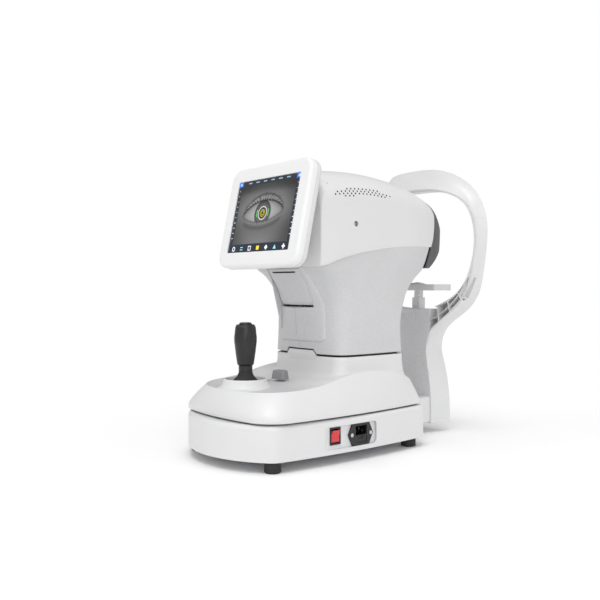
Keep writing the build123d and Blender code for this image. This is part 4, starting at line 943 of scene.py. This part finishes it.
def eye_picture(x, y):
    """Generic greyscale eye of textbook proportions in a measuring display; x, y in mm from the middle."""
    cx, cy, half = -3.0, 3.0, 54.0
    px, py = x - cx, y - cy
    lean = py - 0.04 * px
    side = np.clip(1 - (np.abs(px) / half) ** 2, 0, 1)
    upper, lower = 21.0 * side ** 0.75, -14.5 * side ** 0.85
    open_eye = np.abs(px) < half
    above, below = lean - upper, lower - lean
    skin = 0.33 + 0.05 * np.cos(px / 37.0) + 0.035 * np.sin(py / 11.0 + 0.8)
    crease = np.exp(-((above - 9.0 * side ** 0.5 - 1.5) / 1.9) ** 2) * step(side, 0.02, 0.30)
    skin = skin - 0.13 * crease + 0.08 * np.exp(-((above - 4.5) / 3.0) ** 2) * step(side, 0.05, 0.5)
    skin = skin + 0.07 * np.exp(-((below - 3.0) / 3.0) ** 2) * step(side, 0.05, 0.5)
    skin = skin - 0.07 * np.exp(-((below - 10.0) / 3.5) ** 2) * step(side, 0.0, 0.4)
    pores = 0.02 * np.sin(px * 0.9 + 3 * np.sin(py * 0.4)) * np.sin(py * 1.1)
    skin = skin - 0.16 * step(py, 30.0, 48.0) + pores
    skin = skin * (1 - 0.35 * step(np.hypot(px * 0.8, py), 42.0, 78.0))
    strand = np.sin(px * 1.05 - 0.034 * px * np.clip(above, 0, 20) + 0.8 * np.sin(px * 0.23))
    reach = np.clip(1 - above / (11.0 + 4.0 * np.sin(px * 0.37)), 0, 1)
    reach = reach * (above > 0) * step(side, 0.0, 0.15)
    skin = skin - 0.24 * reach * soft_edge(0.25 - strand, 1.1)
    strand = np.sin(px * 0.95 + 0.05 * px * np.clip(below, 0, 20) + 0.9 * np.sin(px * 0.29))
    reach = np.clip(1 - below / 10.0, 0, 1) * (below > 0) * step(side, 0.05, 0.4)
    skin = skin - 0.15 * reach * soft_edge(0.35 - strand, 1.1)
    inside = np.minimum(-above, -below)
    white = 0.62 - 0.0030 * np.abs(px) - 0.24 * np.exp(above / 5.0) - 0.10 * np.exp(below / 3.0)
    radius, angle = np.hypot(px, py), np.arctan2(py, px)
    iris = 0.27 + 0.06 * np.sin(angle * 41 + 2.0 * np.sin(angle * 5)) * step(radius, 8.0, 12.0)
    iris = iris + 0.06 * np.exp(-((radius - 12.0) / 2.5) ** 2) - 0.12 * step(radius, 17.0, 21.5)
    iris = iris - 0.14 * np.exp(above / 4.5)
    ball = white + (iris - white) * soft_edge(radius - 21.0, 2.0)
    ball = ball + (0.03 - ball) * soft_edge(radius - 8.0, 1.2)
    tone = skin + (ball - skin) * soft_edge(-inside, 1.4) * open_eye
    rim = np.exp(-(above / 1.3) ** 2) * 0.22 + np.exp(-(below / 1.0) ** 2) * 0.08
    return np.clip(tone - rim * step(side, 0.0, 0.12), 0.02, 0.95), px, py, radius


def screen_colours(x, y):
    """Colours of the display, sRGB values."""
    tone, px, py, radius = eye_picture(x, y)
    picture = np.repeat(tone[..., None], 3, axis=2)
    picture = blend_colour(picture, (0.93, 0.93, 0.95), soft_edge(np.abs(radius - 10.6) - 0.45, 0.5))
    for ring, width in ((3.2, 0.4), (5.6, 0.4)):
        picture = blend_colour(picture, (0.95, 0.85, 0.15), soft_edge(np.abs(radius - ring) - width, 0.5))
    bracket = (np.abs(np.abs(px) - 14.6) < 0.55) & (np.abs(py) < 5.0)
    bracket |= (np.abs(np.abs(py) - 5.0) < 0.55) & (np.abs(px) > 12.6) & (np.abs(px) < 15.1)
    picture = blend_colour(picture, (0.25, 0.85, 0.30), bracket.astype(float))
    bars = (y > 52.5) | (y < -46.5) | (np.abs(x) > 72.5)
    picture = np.where(bars[..., None], np.array((0.075, 0.105, 0.15)), picture)
    picture = blend_colour(picture, (0.13, 0.22, 0.34), ((y < -46.5) & (y > -47.3)).astype(float))
    corner = (y > 52.8) & (np.abs(x) > 70.5)
    picture = blend_colour(picture, (0.10, 0.42, 0.85), corner.astype(float))
    dot = np.hypot(np.abs(x) - 76.0, y - 57.0)
    picture = blend_colour(picture, (0.90, 0.95, 1.0), soft_edge(np.abs(dot - 1.6) - 0.5, 0.5))
    for k in range(6):
        dash = (np.abs(x + 50.0 - 20.0 * k) < 4.6) & (np.abs(y - 57.0) < 0.8)
        picture = blend_colour(picture, (0.55, 0.62, 0.70), dash.astype(float))
    ticks = (np.abs(np.abs(x) - 76.5) < 1.5) & (np.abs((y + 40.0) % 9.0 - 4.5) < 0.5) & (y < 48) & (y > -42)
    picture = blend_colour(picture, (0.80, 0.84, 0.88), ticks.astype(float))
    for k in range(7):
        ix, iy = x + 66.0 - 22.0 * k, y + 54.2
        colour = (0.95, 0.80, 0.15) if k == 3 else ((0.55, 0.85, 0.95) if k % 2 else (0.88, 0.91, 0.95))
        across, along = np.abs(ix), np.abs(iy)
        square = np.maximum(across, along)
        shapes = (np.abs(np.hypot(ix, iy) - 3.2) < 0.8,
                  (across < 3.6) & (np.abs(along - 1.9) < 0.7),
                  (square < 3.6) & (square > 2.4),
                  square < 3.4,
                  across + along < 4.2,
                  (iy > -3.2) & (across < (3.4 - iy) * 0.55),
                  (across < 1.0) & (along < 3.6) | (along < 1.0) & (across < 3.6))
        picture = blend_colour(picture, colour, shapes[k].astype(float))
    return picture


def screen_material():
    """Lit display under coated glass; its picture is a colour attribute of the mesh."""
    material, tree, shader = new_material("lit_screen")
    colours = tree.nodes.new("ShaderNodeVertexColor")
    colours.layer_name = "picture"
    join(tree, colours, "Color", shader, "Base Color")
    join(tree, colours, "Color", shader, "Emission Color")
    set_inputs(shader, {"Emission Strength": 0.55})
    gloss = ramp(tree, noise(tree, 60.0, 4.0).outputs["Fac"], grey(0.10), grey(0.16))
    join(tree, gloss, "Color", shader, "Roughness")
    set_inputs(shader, {"Coat Weight": 0.35, "Coat Roughness": 0.05})
    finish_surface(tree, shader, 260.0, 0.000001, 0.0003)
    return material


def make_screen():
    """Front glass with the display picture."""
    MATERIALS["lit_screen"] = screen_material()
    columns, tall = 257, 193
    grid_u, grid_v = np.meshgrid(np.linspace(-81.6, 81.6, columns), np.linspace(-0.6, 122.6, tall))
    y = SCREEN_FOOT[0] + grid_v * math.sin(SCREEN_LEAN) + SCREEN_DEEP * math.cos(SCREEN_LEAN)
    z = SCREEN_FOOT[1] + grid_v * math.cos(SCREEN_LEAN) - SCREEN_DEEP * math.sin(SCREEN_LEAN)
    verts = np.stack([grid_u, y, z], axis=-1).reshape(-1, 3)
    piece = mesh_piece("screen_picture", verts, loft_faces(columns, tall, False, False),
                       "lit_screen", "monitor", "screen_glass", "glass", 40.0)
    linear = np.clip(screen_colours(grid_u, grid_v - 61.0), 0, 1) ** 2.2
    layer = piece.data.color_attributes.new("picture", "FLOAT_COLOR", "POINT")
    rgba = np.concatenate([linear.reshape(-1, 3), np.ones((columns * tall, 1))], axis=1)
    layer.data.foreach_set("color", rgba.astype(np.float32).ravel())


def add_drill(verts, faces, y, z, radius, low, high, turns):
    """Adds a cylinder along x to a list of cutters."""
    start = len(verts)
    for x in (low, high):
        for k in range(turns):
            angle = 2 * math.pi * k / turns
            verts.append((x, y + radius * math.cos(angle), z + radius * math.sin(angle)))
    faces.append(tuple(start + k for k in range(turns)))
    faces.append(tuple(start + turns + k for k in reversed(range(turns))))
    for k in range(turns):
        j = (k + 1) % turns
        faces.append((start + k, start + j, start + turns + j, start + turns + k))


# ---- camera, light and floor --------------------------------------------------------
CAMERA_AT, CAMERA_LENS = (0.9582, -0.8600, 0.2693), 45.0
CAMERA_AZIMUTH, CAMERA_PITCH = math.radians(50.36), math.radians(1.016)
DOME_FACING, DOME_DARK, DOME_LIGHT = (0.40, -0.10, 0.90), 0.08, 0.88
SUNS = {"key": ((0.25, -0.35, 1.0), 28.0, 0.85), "side": ((0.85, -0.50, 0.25), 22.0, 0.42),
        "front": ((-0.35, -0.90, 0.62), 40.0, 0.20)}
FLOOR_REACH = 14.0


def make_floor():
    """Plain pale floor."""
    mesh = bpy.data.meshes.new("floor")
    corners = [(x * FLOOR_REACH, y * FLOOR_REACH, 0) for x, y in ((-1, -1), (1, -1), (1, 1), (-1, 1))]
    mesh.from_pydata(corners, [], [(0, 1, 2, 3)])
    ground = bpy.data.objects.new("floor", mesh)
    bpy.context.scene.collection.objects.link(ground)
    material, tree, shader = new_material("floor")
    shade = ramp(tree, noise(tree, 3.0, 4.0).outputs["Fac"], grey(0.965), grey(0.98))
    join(tree, shade, "Color", shader, "Base Color")
    set_inputs(shader, {"Roughness": 0.9, "Specular IOR Level": 0.1})
    mesh.materials.append(material)


def make_world():
    """Soft dome, lighter towards one side, with a white background."""
    world = bpy.data.worlds.new("studio")
    bpy.context.scene.world = world
    world.use_nodes = True
    tree = world.node_tree
    background = tree.nodes["Background"]
    coords = tree.nodes.new("ShaderNodeTexCoord")
    facing = tree.nodes.new("ShaderNodeVectorMath")
    facing.operation = "DOT_PRODUCT"
    set_inputs(facing, {1: Vector(DOME_FACING).normalized()})
    join(tree, coords, "Generated", facing, 0)
    dome = tree.nodes.new("ShaderNodeMapRange")
    set_inputs(dome, {"From Min": -0.9, "From Max": 0.9, "To Min": DOME_DARK, "To Max": DOME_LIGHT})
    join(tree, facing, "Value", dome, "Value")
    rays = tree.nodes.new("ShaderNodeLightPath")
    choose = tree.nodes.new("ShaderNodeMix")
    choose.data_type = "FLOAT"
    join(tree, rays, "Is Camera Ray", choose, "Factor")
    join(tree, dome, "Result", choose, 2)
    set_inputs(choose, {3: 1.0})
    join(tree, choose, 0, background, "Strength")
    set_inputs(background, {"Color": (1, 1, 1, 1)})


def make_lights():
    """Wide suns."""
    for name, (towards, spread, strength) in SUNS.items():
        light = bpy.data.lights.new(name, "SUN")
        light.angle = math.radians(spread)
        light.energy = strength
        lamp = bpy.data.objects.new(name, light)
        lamp.location = Vector(towards) * 3.0
        lamp.rotation_euler = Vector(towards).to_track_quat("Z", "Y").to_euler()
        bpy.context.scene.collection.objects.link(lamp)


def make_camera():
    """Camera at the viewing angle."""
    camera = bpy.data.cameras.new("camera")
    camera.lens = CAMERA_LENS
    camera.clip_end = 60.0
    eye = bpy.data.objects.new("camera", camera)
    level = math.cos(CAMERA_PITCH)
    ahead, aside = math.cos(CAMERA_AZIMUTH) * level, -math.sin(CAMERA_AZIMUTH) * level
    gaze = Vector((aside, ahead, -math.sin(CAMERA_PITCH)))
    eye.location = CAMERA_AT
    eye.rotation_euler = gaze.to_track_quat("-Z", "Y").to_euler()
    bpy.context.scene.collection.objects.link(eye)
    bpy.context.scene.camera = eye
    bpy.context.scene.view_settings.view_transform = "Standard"


paint_nodes()
make_stage_cover()
make_collar_tab()
make_joystick_ring()
make_lock_knob()
make_column_covers()
make_front_panel()
make_printer_door()
make_head_shell()
make_rear_bezel()
make_forehead_pad()
make_screen()
make_floor()
make_world()
make_lights()
make_camera()
